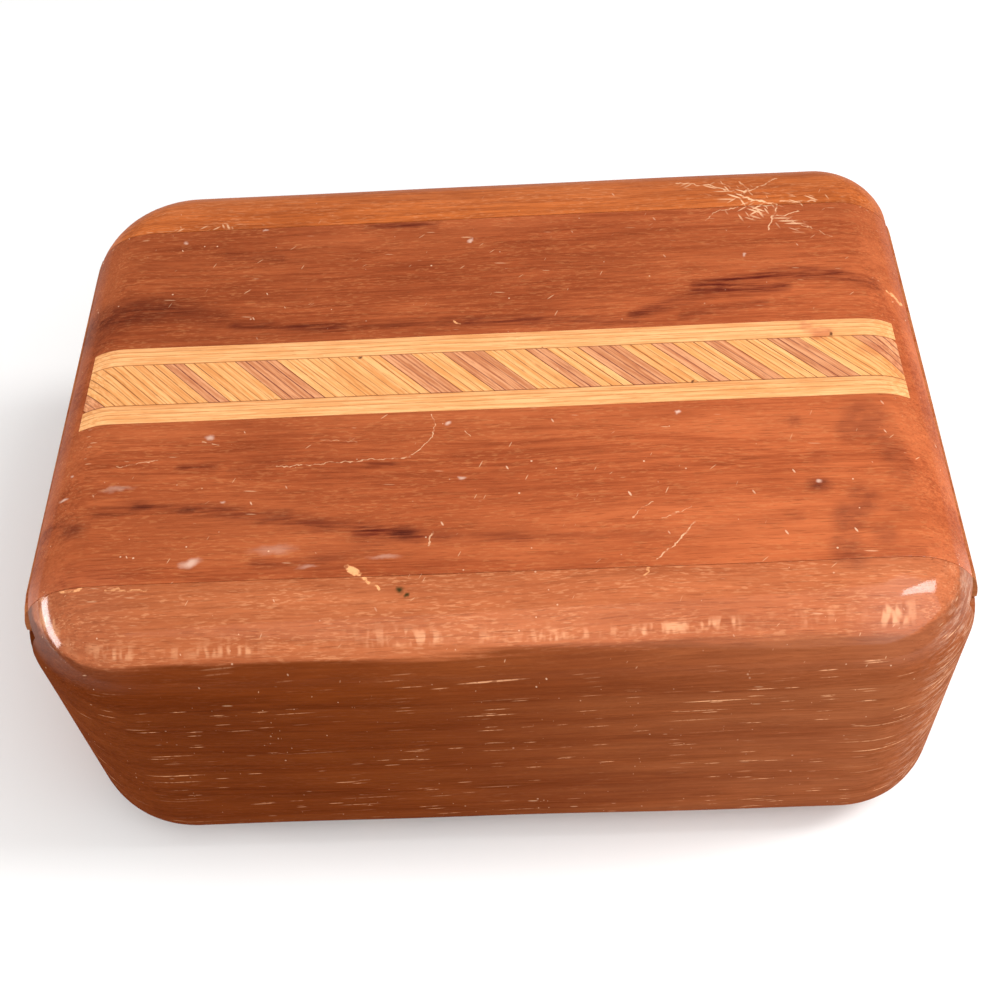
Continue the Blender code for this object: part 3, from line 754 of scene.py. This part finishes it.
wallLook = {
    "dark": (0.36, 0.090, 0.028), "mid": (0.51, 0.138, 0.046), "light": (0.60, 0.185, 0.070),
    "low": (0.84, 0.78, 0.76), "fleck": (0.80, 0.36, 0.17), "pore": (0.20, 0.045, 0.014),
    "bandStrength": 0.30, "fleckStrength": 0.32, "poreStrength": 0.35,
    "shift": (0.31, 0.12, 0.07), "pith": (0, 0.16, 0.0), "ring": 0.0042, "wander": 0.0035,
    "varnish": 0.12, "varnishRoughness": 0.10, "specular": 0.0, "roughness": 0.46, "bump": 0.5,
    "marked": True, "wear": 0.8, "varnished": cornerVarnish,
}
lidLook = dict(wallLook, **{
    "dark": (0.29, 0.062, 0.020), "mid": (0.45, 0.112, 0.037), "light": (0.54, 0.150, 0.052),
    "fleck": (0.62, 0.24, 0.09), "fleckStrength": 0.25, "shift": (0.77, 0.02, 0.19), "pith": (0, 0.05, 0.10),
    "ring": 0.0055, "bandStrength": 0.4, "wear": 1.0, "scratches": topMarks["lidScratches"],
    "splinters": topMarks["lidSplinters"], "scuffs": topMarks["scuffs"], "shaded": lidShade,
    "frayed": topMarks["frayedLid"],
})
frontLook = dict(wallLook, **{"shaded": frontFaceShade, "splinters": topMarks["frontSplinters"],
                              "darkSpecks": topMarks["darkSpecks"]})
backLook = dict(wallLook, **{
    "dark": (0.32, 0.072, 0.016), "mid": (0.54, 0.135, 0.030), "fleckStrength": 0.2, "shift": (0.9, 0.3, 0.5),
    "scratches": topMarks["backScratches"], "frayed": topMarks["frayedBack"],
})
endLook = dict(wallLook, **{
    "dark": (0.24, 0.055, 0.016), "mid": (0.40, 0.105, 0.030), "across": True, "shift": (0.11, 0.4, 0.3),
    "marked": False, "fleckStrength": 0.15,
})
runnerLook = dict(lidLook, **{
    "varnish": 0.0, "varnished": None, "marked": False, "roughness": 0.55, "shift": (0.5, 0.9, 0.1),
    "mid": (0.46, 0.16, 0.06), "light": (0.56, 0.24, 0.10), "shaded": None,
})

frontWood = boardWood("frontWood", frontLook)
backWood = boardWood("backWood", backLook)
lidWood = boardWood("lidWood", lidLook)
endWood = boardWood("endWood", endLook)
runnerWood = boardWood("runnerWood", runnerLook)


def finishPiece(piece, material, body, nodes):
    piece.data.materials.clear()
    piece.data.materials.append(material)
    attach(piece, body)
    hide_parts(*nodes)


# boards
wallBoard = {
    "seamLines": 4, "outerLines": 22, "alongX": 132, "arris": 0.06 * mm,
    "tongueRoom": 3.45 * mm,           # depth of the runner's groove
    "boreRadius": 1.2 * mm, "boreDepth": 6.3 * mm, "pinHeight": 39.3 * mm, "stations": (-34 * mm, -4 * mm),
}


def makeWall(name, node, side, seam, material):
    # rows in y: even steps from the seam face to the groove's floor, then round the corner,
    # y = centre + reach sin(angle), each row running in x between the block's two ends at that y and z
    z = heightLines([0, grooveLow, grooveHigh, block["height"]])
    seamFace = abs(seam) + slideGap
    face = faceAt(z)
    room = (face - seamFace) / (faceAt(np.array(grooveHigh)) - seamFace)
    floor = seamFace + wallBoard["tongueRoom"] * np.minimum(1, room)
    inner = seamFace + (floor - seamFace) * np.linspace(0, 1, wallBoard["seamLines"] + 1)[:, None]
    ends = {}
    for end in (-1, 1):
        corner = cornerRadius(end, np.array(side * 1.0))
        centre, reach = block["depth"] / 2 - corner, corner - insetAt(z)
        first = np.arcsin(np.clip((floor - centre) / reach, -1, 1))
        share = np.linspace(0, 1, wallBoard["outerLines"] + 1)[1:, None]
        outer = centre + reach * np.sin(first + (math.pi / 2 - first) * share)
        y = side * np.concatenate([inner, outer])
        if side < 0:
            y = y[::-1]
        ends[end] = (y, end * endReach(y, z[None, :], end))
    share = np.linspace(0, 1, wallBoard["alongX"] + 1)[:, None, None]
    x = ends[-1][1] + (ends[1][1] - ends[-1][1]) * share
    y = ends[-1][0] + (ends[1][0] - ends[-1][0]) * share
    points = latticeOf(x, y, z)
    keep = allCells(points)
    middle = (z[:-1] + z[1:]) / 2
    groove = (middle > grooveLow) & (middle < grooveHigh)
    seamCells = slice(0, wallBoard["seamLines"]) if side > 0 else slice(-wallBoard["seamLines"], None)
    keep[:, seamCells, groove] = False
    piece = makePiece(name, *skinOf(handSanded(points), keep))
    mouth = side * (seamFace + wallBoard["tongueRoom"] - 0.1 * mm)
    for station in wallBoard["stations"]:
        bore = [(0, wallBoard["boreRadius"]), (wallBoard["boreDepth"], wallBoard["boreRadius"])]
        cutAway(piece, *turnedSurface(bore, (station, mouth, wallBoard["pinHeight"]), (0, side, 0)))
    paintMarks(piece)
    easeArris(piece, wallBoard["arris"])
    finishPiece(piece, material, "box", [node])


makeWall("frontWallBoard", "front_wall", -1, frontSeam, frontWood)
makeWall("backWallBoard", "back_wall", 1, backSeam, backWood)
print("walls made")

lid = {"alongX": 144, "acrossY": 80, "arris": 0.06 * mm}
evenShares = np.linspace(0, 1, lid["alongX"] + 1)
lidYLines = withStops(np.linspace(frontSeam, backSeam, lid["acrossY"] + 1),
                      [frontSeam + slideGap, inlayFront, inlayBack, backSeam - slideGap], 0.3 * mm)
lidZLines = heightLines([lidLow, trenchFloor, block["height"]], 22)


def outsideTrench(points):
    middle = cellMiddles(points)
    inTrench = (middle[..., 1] > inlayFront) & (middle[..., 1] < inlayBack) & (middle[..., 2] > trenchFloor)
    return ~inTrench


lidBoard = makePiece("lidBoard", *boardBetween(lidYLines, lidZLines, evenShares, outsideTrench))
paintMarks(lidBoard)
easeArris(lidBoard, lid["arris"])
finishPiece(lidBoard, lidWood, "lid", ["lid_board"])

base = {"top": 8.1 * mm, "arris": 0.08 * mm}
endBlock = {"foot": 8.12 * mm, "top": grooveLow + 0.08 * mm, "inside": 42 * mm, "arris": 0.08 * mm, "alongX": 13}
baseYLines = withStops(np.linspace(frontSeam, backSeam, 41), [frontSeam + glueGap, backSeam - glueGap], 0.4 * mm)
baseBoard = makePiece("baseBoard", *boardBetween(baseYLines, heightLines([0, base["top"]], 20), evenShares))
easeArris(baseBoard, base["arris"])
finishPiece(baseBoard, endWood, "box", ["base_board"])

# each end block runs from its flat inside face to the block's end: x = low + share (high - low)
endHeights = heightLines([endBlock["foot"], endBlock["top"]], 20)
for side, name, node in ((-1, "leftEndBlock", "left_end_block"), (1, "rightEndBlock", "right_end_block")):
    shares = np.linspace(0, 1, endBlock["alongX"])
    y, z = np.meshgrid(baseYLines, endHeights, indexing="ij")
    outer = side * endReach(y, z, side)
    inner = np.full_like(outer, side * endBlock["inside"])
    low, high = (outer, inner) if side < 0 else (inner, outer)
    x = low + (high - low) * shares[:, None, None]
    points = latticeOf(x, y, z)
    keep = allCells(points)
    piece = makePiece(name, *skinOf(handSanded(points), keep))
    easeArris(piece, endBlock["arris"])
    finishPiece(piece, endWood, "box", [node])
print("lid board, base and end blocks made")

runner = {"tongueEnd": 51 * mm, "front": -31.65 * mm, "back": 30.65 * mm, "socketDepth": 3.9 * mm,
          "arris": 0.15 * mm, "alongX": 69}
runnerYLines = withStops(np.linspace(runner["front"], runner["back"], 43),
                         [runner["front"], frontSeam + slideGap, backSeam - slideGap, runner["back"]], 0.4 * mm)
runnerZLines = np.linspace(runnerLow, runnerHigh, 7)
yGrid, zGrid = np.meshgrid(runnerYLines, runnerZLines, indexing="ij")
inner = np.linspace(-runner["tongueEnd"], runner["tongueEnd"], runner["alongX"])[:, None, None]
# even steps in x between the tongues' ends, and one more out to the block's rounded end
leftEnd = -endReach(yGrid, zGrid, -1)[None]
rightEnd = endReach(yGrid, zGrid, 1)[None]
x = np.concatenate([leftEnd, np.broadcast_to(inner, (runner["alongX"], *yGrid.shape)), rightEnd])
points = latticeOf(x, yGrid, zGrid)
middle = cellMiddles(points)
onTongue = (middle[..., 1] < frontSeam) | (middle[..., 1] > backSeam)
keep = ~(onTongue & (np.abs(middle[..., 0]) > runner["tongueEnd"]))
runnerBoard = makePiece("runnerBoard", *skinOf(points, keep))
for side, mouth in ((-1, runner["front"]), (1, runner["back"])):
    for station in wallBoard["stations"]:
        socket = [(-0.3 * mm, wallBoard["boreRadius"]), (runner["socketDepth"], wallBoard["boreRadius"])]
        centre = (station, mouth, wallBoard["pinHeight"])
        cutAway(runnerBoard, *turnedSurface(socket, centre, (0, -side, 0)))
easeArris(runnerBoard, runner["arris"])
finishPiece(runnerBoard, runnerWood, "lid", ["lid_runner_board"])
print("runner made")

# inlay
inlay = {
    "end": 49.5 * mm, "bottom": trenchFloor + 0.01 * mm, "proud": 0.012 * mm, "joint": 0.012 * mm,
    "arris": 0.03 * mm, "packArris": 0.025 * mm,
    "coreFront": -2.65 * mm, "coreBack": 3.85 * mm, "pitch": 0.9 * mm * math.sqrt(2), "centre": 0.6 * mm,
    "packs": [("rose", 2), ("pale", 10), ("rose", 2), ("pale", 5), ("rose", 4), ("pale", 10), ("rose", 3),
              ("pale", 3), ("rose", 4), ("pale", 4), ("rose", 2), ("pale", 3), ("rose", 4), ("pale", 3),
              ("rose", 2), ("pale", 3), ("rose", 2), ("pale", 4), ("rose", 3), ("pale", 5), ("rose", 4)],
}
inlay["start"] = inlay["centre"] - sum(count for wood, count in inlay["packs"]) * inlay["pitch"] / 2


def topAt(x):
    # height of the block's top along its length: flat, then the quarter round
    radius = block["edgeRadius"]
    past = np.clip(np.abs(x) - (block["length"] / 2 - radius), 0, radius)
    return block["height"] - radius + np.sqrt(radius ** 2 - past ** 2)


def slabUnderTop(x, y):
    # a thin slab under the block's rounded top: z = bottom + level (top - bottom)
    levels = np.linspace(0, 1, 4)
    top = topAt(x) + inlay["proud"]
    z = inlay["bottom"] + (top - inlay["bottom"])[..., None] * levels
    points = latticeOf(x[..., None], y[..., None], z)
    return skinOf(handSanded(points), allCells(points))


def plyWood(name, look):
    # thin plies glued side by side: the ply number is the distance across them over their pitch
    material, tree, shader, place = newMaterial(name)
    shader.inputs["Coat Weight"].default_value = 0.12
    shader.inputs["Coat Roughness"].default_value = 0.12
    shader.inputs["Specular IOR Level"].default_value = 0.0
    split = put(tree, "SeparateXYZ", {0: place})
    turned = put(tree, "VectorRotate", {"Vector": place, "Angle": look["turn"]}, rotation_type="Z_AXIS").outputs[0]
    across = calc(tree, "ADD", split.outputs[1], times(tree, split.outputs[0], look["slope"]))
    waver = grainNoise(tree, turned, (180, 500, 500), 2.0)
    waver = times(tree, calc(tree, "SUBTRACT", waver, 0.5), look["waver"])
    ply = calc(tree, "ADD", calc(tree, "DIVIDE", calc(tree, "SUBTRACT", across, look["first"]), look["pitch"]), waver)
    number = calc(tree, "FLOOR", ply)
    line = calc(tree, "ROUND", ply)
    fromLine = calc(tree, "ABSOLUTE", calc(tree, "SUBTRACT", ply, line))
    plyTone = put(tree, "TexWhiteNoise", {"W": calc(tree, "ADD", number, 0.37)}, noise_dimensions="1D").outputs[0]
    lineTone = put(tree, "TexWhiteNoise", {"W": calc(tree, "ADD", line, 7.7)}, noise_dimensions="1D").outputs[0]
    streak = grainNoise(tree, turned, (140, 3400, 3400), 3.0, 0.6)
    broad = grainNoise(tree, turned, (50, 240, 240), 2.0, 0.5)
    colour = blendColour(tree, remap(tree, streak, 0.36, 0.64), (*look["dark"], 1), (*look["light"], 1))
    tone = blendColour(tree, plyTone, (*look["dull"], 1), (1, 1, 1, 1))
    colour = blendColour(tree, 1.0, colour, tone, "MULTIPLY")
    colour = blendColour(tree, remap(tree, broad, 0.35, 0.7), colour, (*look["warm"], 1), "MULTIPLY")
    pores = remap(tree, grainNoise(tree, turned, (600, 7000, 7000), 1.0), 0.60, 0.70)
    colour = blendColour(tree, times(tree, pores, 0.35), colour, (*look["pore"], 1))
    gap = remap(tree, fromLine, look["line"] * 0.35, look["line"], 1.0, 0.0)
    gap = times(tree, gap, remap(tree, lineTone, 0.0, 1.0, look["lineLow"], look["lineHigh"], False))
    gap = times(tree, gap, remap(tree, grainNoise(tree, turned, (500, 500, 500), 2.0), 0.3, 0.5, 0.55, 1.0))
    colour = blendColour(tree, gap, colour, (*look["glue"], 1))
    for y in (inlay["coreFront"], inlay["coreBack"]):
        away = calc(tree, "ABSOLUTE", calc(tree, "SUBTRACT", split.outputs[1], y))
        colour = blendColour(tree, remap(tree, away, 0.04 * mm, 0.11 * mm, 0.7, 0.0), colour, (*look["glue"], 1))
    wear = useGroup(tree, wearGroup, {"Vector": place, "Amount": 0.5})
    colour = blendColour(tree, times(tree, wear["Dust"], 0.5), colour, (0.97, 0.66, 0.40, 1))
    stained = useGroup(tree, inlayStainGroup, {"Vector": place})
    colour = blendColour(tree, stained["Pink"], colour, (0.80, 0.62, 0.66, 1), "MULTIPLY")
    colour = blendColour(tree, stained["Dots"], colour, (0.10, 0.035, 0.015, 1))
    tree.links.new(colour, shader.inputs["Base Color"])
    tree.links.new(remap(tree, streak, 0.3, 0.7, 0.40, 0.52), shader.inputs["Roughness"])
    height = calc(tree, "SUBTRACT", times(tree, streak, 0.4), gap)
    bump = put(tree, "Bump", {"Height": height, "Strength": 0.45, "Distance": 0.00003})
    tree.links.new(bump.outputs[0], shader.inputs["Normal"])
    return material


def makeInlayStainGroup():
    # soft pink stains and small dark dots on the inlay
    group, start, end = newGroup("inlayStains", [("Vector", "Vector", (0, 0, 0))],
                                 [("Pink", "Float"), ("Dots", "Float")])
    place = start.outputs["Vector"]
    shift = put(group, "TexNoise", {"Vector": vectorCalc(group, "MULTIPLY", place, (700, 700, 700)), "Scale": 1.0,
                                    "Detail": 2.0}).outputs["Color"]
    shift = vectorCalc(group, "MULTIPLY", vectorCalc(group, "SUBTRACT", shift, (0.5, 0.5, 0.5)), (0.002, 0.002, 0))
    moved = vectorCalc(group, "ADD", place, shift)

    def spots(marks):
        total = 0.0
        for centre, size, strength in marks:
            mask = blotchAt(group, moved, centre, size, 0, 0.3)
            total = calc(group, "MAXIMUM", times(group, mask, strength), total)
        return total

    group.links.new(spots([((40.2, 4.4), (2.2, 1.3), 1.0), ((38.6, 5.6), (1.2, 0.9), 0.7),
                           ((46.0, 1.6), (2.6, 1.6), 0.5), ((49.0, -1.0), (1.5, 3.0), 0.4)]), end.inputs["Pink"])
    group.links.new(spots([((-15.7, 3.3), (0.42, 0.32), 0.9), ((24.2, -2.7), (0.36, 0.30), 0.9),
                           ((6.4, 4.1), (0.28, 0.26), 0.8), ((41.5, 4.0), (0.50, 0.42), 0.9),
                           ((-28.2, -2.6), (0.5, 0.2), 0.4), ((4.2, 0.6), (0.4, 0.6), 0.15)]), end.inputs["Dots"])
    return group


inlayStainGroup = makeInlayStainGroup()
paleCore = {
    "turn": math.radians(45), "slope": 1.0, "first": inlay["start"], "pitch": inlay["pitch"], "waver": 0.10,
    "dark": (0.74, 0.32, 0.105), "light": (0.92, 0.47, 0.19), "dull": (0.90, 0.86, 0.84), "warm": (0.94, 0.90, 0.84),
    "pore": (0.46, 0.17, 0.05), "glue": (0.24, 0.075, 0.024), "line": 0.10, "lineLow": 0.45, "lineHigh": 1.0,
}
roseCore = dict(paleCore, **{
    "dark": (0.54, 0.200, 0.085), "light": (0.75, 0.350, 0.170), "dull": (0.88, 0.84, 0.82), "warm": (0.96, 0.92, 0.90),
    "pore": (0.28, 0.08, 0.05), "glue": (0.16, 0.035, 0.025), "line": 0.10, "lineLow": 0.45, "lineHigh": 1.0,
})
edgingLook = dict(paleCore, **{
    "turn": 0.0, "slope": 0.0, "pitch": 0.70 * mm, "line": 0.13, "lineLow": 0.45, "lineHigh": 0.9, "waver": 0.16,
    "dark": (0.75, 0.335, 0.125), "light": (0.89, 0.465, 0.20), "glue": (0.46, 0.18, 0.06),
})
paleWood = plyWood("paleInlay", paleCore)
roseWood = plyWood("roseInlay", roseCore)
frontEdgingWood = plyWood("frontEdging", dict(edgingLook, first=inlayFront))
backEdgingWood = plyWood("backEdging", dict(edgingLook, first=inlay["coreBack"]))

along = np.linspace(-inlay["end"], inlay["end"], 199)
for name, material, low, high in (("inlayFrontEdging", frontEdgingWood, inlayFront, inlay["coreFront"]),
                                  ("inlayBackEdging", backEdgingWood, inlay["coreBack"], inlayBack)):
    x, y = np.meshgrid(along, np.linspace(low + inlay["joint"], high - inlay["joint"], 9), indexing="ij")
    edging = makePiece(name, *slabUnderTop(x, y))
    node = "inlay_front_edging" if "Front" in name else "inlay_back_edging"
    easeArris(edging, inlay["arris"])
    finishPiece(edging, material, "lid", [node])

firstLine = inlay["start"]
for number, (wood, plies) in enumerate(inlay["packs"], 1):
    lastLine = firstLine + plies * inlay["pitch"]
    joint = inlay["joint"] * math.sqrt(2)
    lines = np.linspace(firstLine + joint, lastLine - joint, plies * 3 + 1)[:, None]
    low = np.maximum(inlay["coreFront"] + inlay["joint"], lines - inlay["end"])
    high = np.minimum(inlay["coreBack"] - inlay["joint"], lines + inlay["end"])
    y = low + (high - low) * np.linspace(0, 1, 15)
    pack = makePiece(f"inlayPack{number:02d}", *slabUnderTop(lines - y, y))
    easeArris(pack, inlay["packArris"])
    finishPiece(pack, paleWood if wood == "pale" else roseWood, "lid",
                [f"inlay_pack_{number:02d}_{wood}"])
    firstLine = lastLine
print("inlay made")

# felt: a pad with soft rounded edges and a slightly uneven face
felt = {"rounding": 0.9 * mm, "uneven": 0.05 * mm, "steps": (81, 51)}
low, high = np.array(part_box("felt_lining")[0]), np.array(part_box("felt_lining")[1])


def feltPad(low, high):
    # height = thickness times a quarter circle of the distance from the nearest edge, less slow waves
    edgeSteps = felt["rounding"] * (1 - np.cos(np.linspace(0, math.pi / 2, 6)))
    rows = [np.unique(np.concatenate([
        low[i] + edgeSteps, np.linspace(low[i] + edgeSteps[-1], high[i] - edgeSteps[-1], steps), high[i] - edgeSteps,
    ])) for i, steps in enumerate(felt["steps"])]
    x, y = np.meshgrid(*rows, indexing="ij")
    inwards = np.minimum(np.minimum(x - low[0], high[0] - x), np.minimum(y - low[1], high[1] - y))
    share = 1 - np.clip(inwards / felt["rounding"], 0, 1)
    waves = np.sin(x * 310 + 0.4) * np.cos(y * 270 + 1.1) + 0.5 * np.sin(x * 690 - y * 530)
    thick = (high[2] - low[2]) * (0.35 + 0.65 * np.sqrt(1 - share ** 2)) - felt["uneven"] * (waves + 1.5) / 3
    z = low[2] + thick[..., None] * np.linspace(0, 1, 3)
    points = latticeOf(x[..., None], y[..., None], z)
    return skinOf(points, allCells(points))


def makeFeltMaterial():
    # matted green fibres: fine noise in three sizes, with paler stray hairs
    material, tree, shader, place = newMaterial("greenFelt", **{"Specular IOR Level": 0.15, "Sheen Weight": 0.25,
                                                                "Sheen Roughness": 0.5})
    matted = grainNoise(tree, place, (1500, 1500, 1500), 4.0, 0.65, 0.6)
    clumps = grainNoise(tree, place, (260, 260, 260), 3.0)
    colour = blendColour(tree, remap(tree, matted, 0.32, 0.68), (0.010, 0.034, 0.016, 1), (0.048, 0.120, 0.062, 1))
    colour = blendColour(tree, remap(tree, clumps, 0.35, 0.65), colour, (0.80, 0.86, 0.78, 1), "MULTIPLY")
    hairs = specksOver(tree, wavered(tree, place, 700, 0.6 * mm), [
        (turn, (420, 4200, 1500), 0.25, share) for turn, share in ((0.4, 0.22), (1.5, 0.2), (2.5, 0.2))])
    colour = blendColour(tree, times(tree, hairs, 0.35), colour, (0.14, 0.26, 0.15, 1))
    tree.links.new(colour, shader.inputs["Base Color"])
    tree.links.new(remap(tree, matted, 0.3, 0.7, 0.88, 1.0), shader.inputs["Roughness"])
    bump = put(tree, "Bump", {"Height": calc(tree, "ADD", matted, times(tree, hairs, 0.3)),
                              "Strength": 0.9, "Distance": 0.00015})
    tree.links.new(bump.outputs[0], shader.inputs["Normal"])
    return material


feltLining = makePiece("feltLining", *feltPad(low, high))
finishPiece(feltLining, makeFeltMaterial(), "box", ["felt_lining"])


def turnedMetal(name, look):
    # bright metal from the lathe: fine rings round the axis, a few handling scratches, dull tarnish in clouds
    material, tree, shader, place = newMaterial(name, Metallic=1.0)
    rings = grainNoise(tree, place, look["rings"], 2.0, 0.6)
    tarnish = remap(tree, grainNoise(tree, place, (420, 420, 420), 4.0, 0.6), 0.42, 0.66)
    scratches = useGroup(tree, speckGroup, {"Vector": place, "Turn": 0.7, "Stretch": (700, 9000, 3000), "Size": 0.2,
                                            "Share": 0.3})["Mask"]
    colour = blendColour(tree, remap(tree, rings, 0.35, 0.65), (*look["dark"], 1), (*look["bright"], 1))
    colour = blendColour(tree, times(tree, tarnish, look["tarnished"]), colour, (*look["tarnish"], 1))
    tree.links.new(colour, shader.inputs["Base Color"])
    rough = calc(tree, "ADD", remap(tree, rings, 0.3, 0.7, 0.22, 0.34), times(tree, tarnish, 0.18))
    tree.links.new(calc(tree, "ADD", rough, times(tree, scratches, 0.12)), shader.inputs["Roughness"])
    bump = put(tree, "Bump", {"Height": calc(tree, "SUBTRACT", rings, scratches), "Strength": 0.3,
                              "Distance": 0.00001})
    tree.links.new(bump.outputs[0], shader.inputs["Normal"])
    return material


pinSteel = turnedMetal("pinSteel", {"rings": (900, 9000, 900), "dark": (0.50, 0.50, 0.51), "bright": (0.68, 0.68, 0.69),
                                    "tarnish": (0.30, 0.27, 0.24), "tarnished": 0.35})
screwBrass = turnedMetal("screwBrass", {"rings": (900, 900, 9000), "dark": (0.66, 0.42, 0.14),
                                        "bright": (0.86, 0.60, 0.24), "tarnish": (0.34, 0.20, 0.07),
                                        "tarnished": 0.45})

pin = {"chamfer": 0.28 * mm, "chamferSteps": 5, "dimple": 0.06 * mm}
for node, body in (("front_left_lock_pin", "front_left_pin"), ("front_middle_lock_pin", "front_middle_pin"),
                   ("back_left_lock_pin", "back_left_pin"), ("back_middle_lock_pin", "back_middle_pin")):
    low, high = np.array(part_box(node)[0]), np.array(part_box(node)[1])
    middle, length = (low + high) / 2, high[1] - low[1]
    radius = (high[2] - low[2]) / 2
    turn = np.linspace(0, math.pi / 2, pin["chamferSteps"])
    # a shallow dimple in the end, a rounded rim, then the straight side, and the same again
    rim = np.stack([pin["chamfer"] * (1 - np.sin(turn)), radius - pin["chamfer"] * (1 - np.cos(turn))], 1)[::-1]
    rim = np.concatenate([[[pin["dimple"], radius * 0.25], [pin["dimple"] * 0.5, radius * 0.45]], rim])
    far = np.stack([length - rim[::-1, 0], rim[::-1, 1]], 1)
    profile = np.concatenate([rim, [[length * 0.35, radius], [length * 0.65, radius]], far])
    start = (middle[0], low[1], middle[2])
    lockPin = makePiece(node.replace("_lock_pin", "LockPin").replace("_left", "Left").replace("_middle", "Middle"),
                        *turnedSurface(profile, start, (0, 1, 0), 32))
    finishPiece(lockPin, pinSteel, body, [node])

# stop screw: a domed head with a slot, its threaded shank up in the runner
screw = {"headHeight": 2.1 * mm, "headRadius": 2.1 * mm, "rim": 0.18 * mm, "shank": 2.8 * mm, "shankRadius": 0.98 * mm,
         "thread": 0.13 * mm, "pitch": 0.45 * mm, "slotWidth": 0.6 * mm, "slotDepth": 0.65 * mm, "room": 1.25 * mm}
low, high = np.array(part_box("stop_screw")[0]), np.array(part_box("stop_screw")[1])
seat = np.array(((low[0] + high[0]) / 2, (low[1] + high[1]) / 2, high[2] - screw["shank"]))
turn = np.linspace(0.12, math.pi / 2, 14)
dome = np.stack([-screw["rim"] - (screw["headHeight"] - screw["rim"]) * np.cos(turn),
                 screw["headRadius"] * np.sin(turn)], 1)
climb = np.linspace(0.02 * mm, screw["shank"], 46)
thread = screw["shankRadius"] - screw["thread"] * (0.5 + 0.5 * np.cos(2 * math.pi * climb / screw["pitch"]))
profile = np.concatenate([dome, [[-0.04 * mm, screw["headRadius"] * 0.99], [0, screw["headRadius"] * 0.94]],
                          np.stack([climb, thread], 1)])
stopScrew = makePiece("stopScrew", *turnedSurface(profile, seat, (0, 0, 1), 48))
halfSlot = np.array((screw["headRadius"] * 1.2, screw["slotWidth"] / 2))
crown = seat[2] - screw["headHeight"]
corners = [(seat[i] - halfSlot[i], seat[i] + halfSlot[i]) for i in (0, 1)]
corners.append((crown - 0.5 * mm, crown + screw["slotDepth"]))
cutAway(stopScrew, *skinOf(np.stack(np.meshgrid(*corners, indexing="ij"), -1), np.ones((1, 1, 1), bool)))
easeArris(stopScrew, 0.03 * mm)
finishPiece(stopScrew, screwBrass, "lid", ["stop_screw"])
hole = [(-0.5 * mm, screw["room"]), (screw["shank"] + 0.3 * mm, screw["room"])]
cutAway(runnerBoard, *turnedSurface(hole, (seat[0], seat[1], runnerLow), (0, 0, 1), 32))
print("felt, pins and stop screw made")

# floor, light, camera
floorPlane = bpy.data.meshes.new("floor")
floorPlane.from_pydata([(-3, -3, 0), (3, -3, 0), (3, 3, 0), (-3, 3, 0)], [], [(0, 1, 2, 3)])
floor = bpy.data.objects.new("floor", floorPlane)
bpy.context.scene.collection.objects.link(floor)
floorMaterial, tree, shader, place = newMaterial("paleFloor", Roughness=0.7)
shader.inputs["Base Color"].default_value = (0.86, 0.86, 0.855, 1)
floorPlane.materials.append(floorMaterial)

lights = {                             # three plain soft boxes: one large overhead, a narrow one at each side
    "overhead": {"place": (0.26, -0.28, 0.58), "aim": (0, 0, 0.03), "size": (0.9, 0.9), "power": 5.4},
    "leftBox": {"place": (-0.62, -0.03, 0.12), "aim": (-0.04, -0.02, 0.04), "size": (0.34, 0.10), "power": 1.9},
    "rightBox": {"place": (0.45, 0.0, 0.55), "aim": (0.04, -0.03, 0.04), "size": (0.12, 0.36), "power": 2.3},
}
for name, light in lights.items():
    lamp = bpy.data.lights.new(name, "AREA")
    lamp.shape = "RECTANGLE"
    lamp.size, lamp.size_y = light["size"]
    lamp.energy = light["power"]
    holder = bpy.data.objects.new(name, lamp)
    holder.location = light["place"]
    holder.rotation_euler = (Vector(light["aim"]) - Vector(light["place"])).to_track_quat("-Z", "Y").to_euler()
    bpy.context.scene.collection.objects.link(holder)

world = bpy.data.worlds.new("softRoom")
world.use_nodes = True
world.node_tree.nodes["Background"].inputs["Color"].default_value = (1.0, 0.99, 0.98, 1)
world.node_tree.nodes["Background"].inputs["Strength"].default_value = 0.40
bpy.context.scene.world = world
bpy.context.scene.view_settings.view_transform = "Standard"

view = {"azimuth": 3.536, "elevation": 52.987, "roll": -5.048, "distance": 189.167 * mm, "lens": 51.12,
        "shiftX": 0.0008, "shiftY": -0.01155, "aim": (0, 0, block["height"] / 2)}
camera = bpy.data.cameras.new("camera")
camera.lens, camera.sensor_width = view["lens"], 36
camera.shift_x, camera.shift_y = view["shiftX"], view["shiftY"]
camera.clip_start, camera.clip_end = 0.01, 20
cameraHolder = bpy.data.objects.new("camera", camera)
azimuth, elevation = math.radians(view["azimuth"]), math.radians(view["elevation"])
back = Vector((math.sin(azimuth) * math.cos(elevation), -math.cos(azimuth) * math.cos(elevation),
               math.sin(elevation)))
turned = (-back).to_track_quat("-Z", "Y").to_matrix().to_4x4() @ Matrix.Rotation(math.radians(view["roll"]), 4, "Z")
cameraHolder.matrix_world = Matrix.Translation(Vector(view["aim"]) + back * view["distance"]) @ turned
bpy.context.scene.collection.objects.link(cameraHolder)
bpy.context.scene.camera = cameraHolder
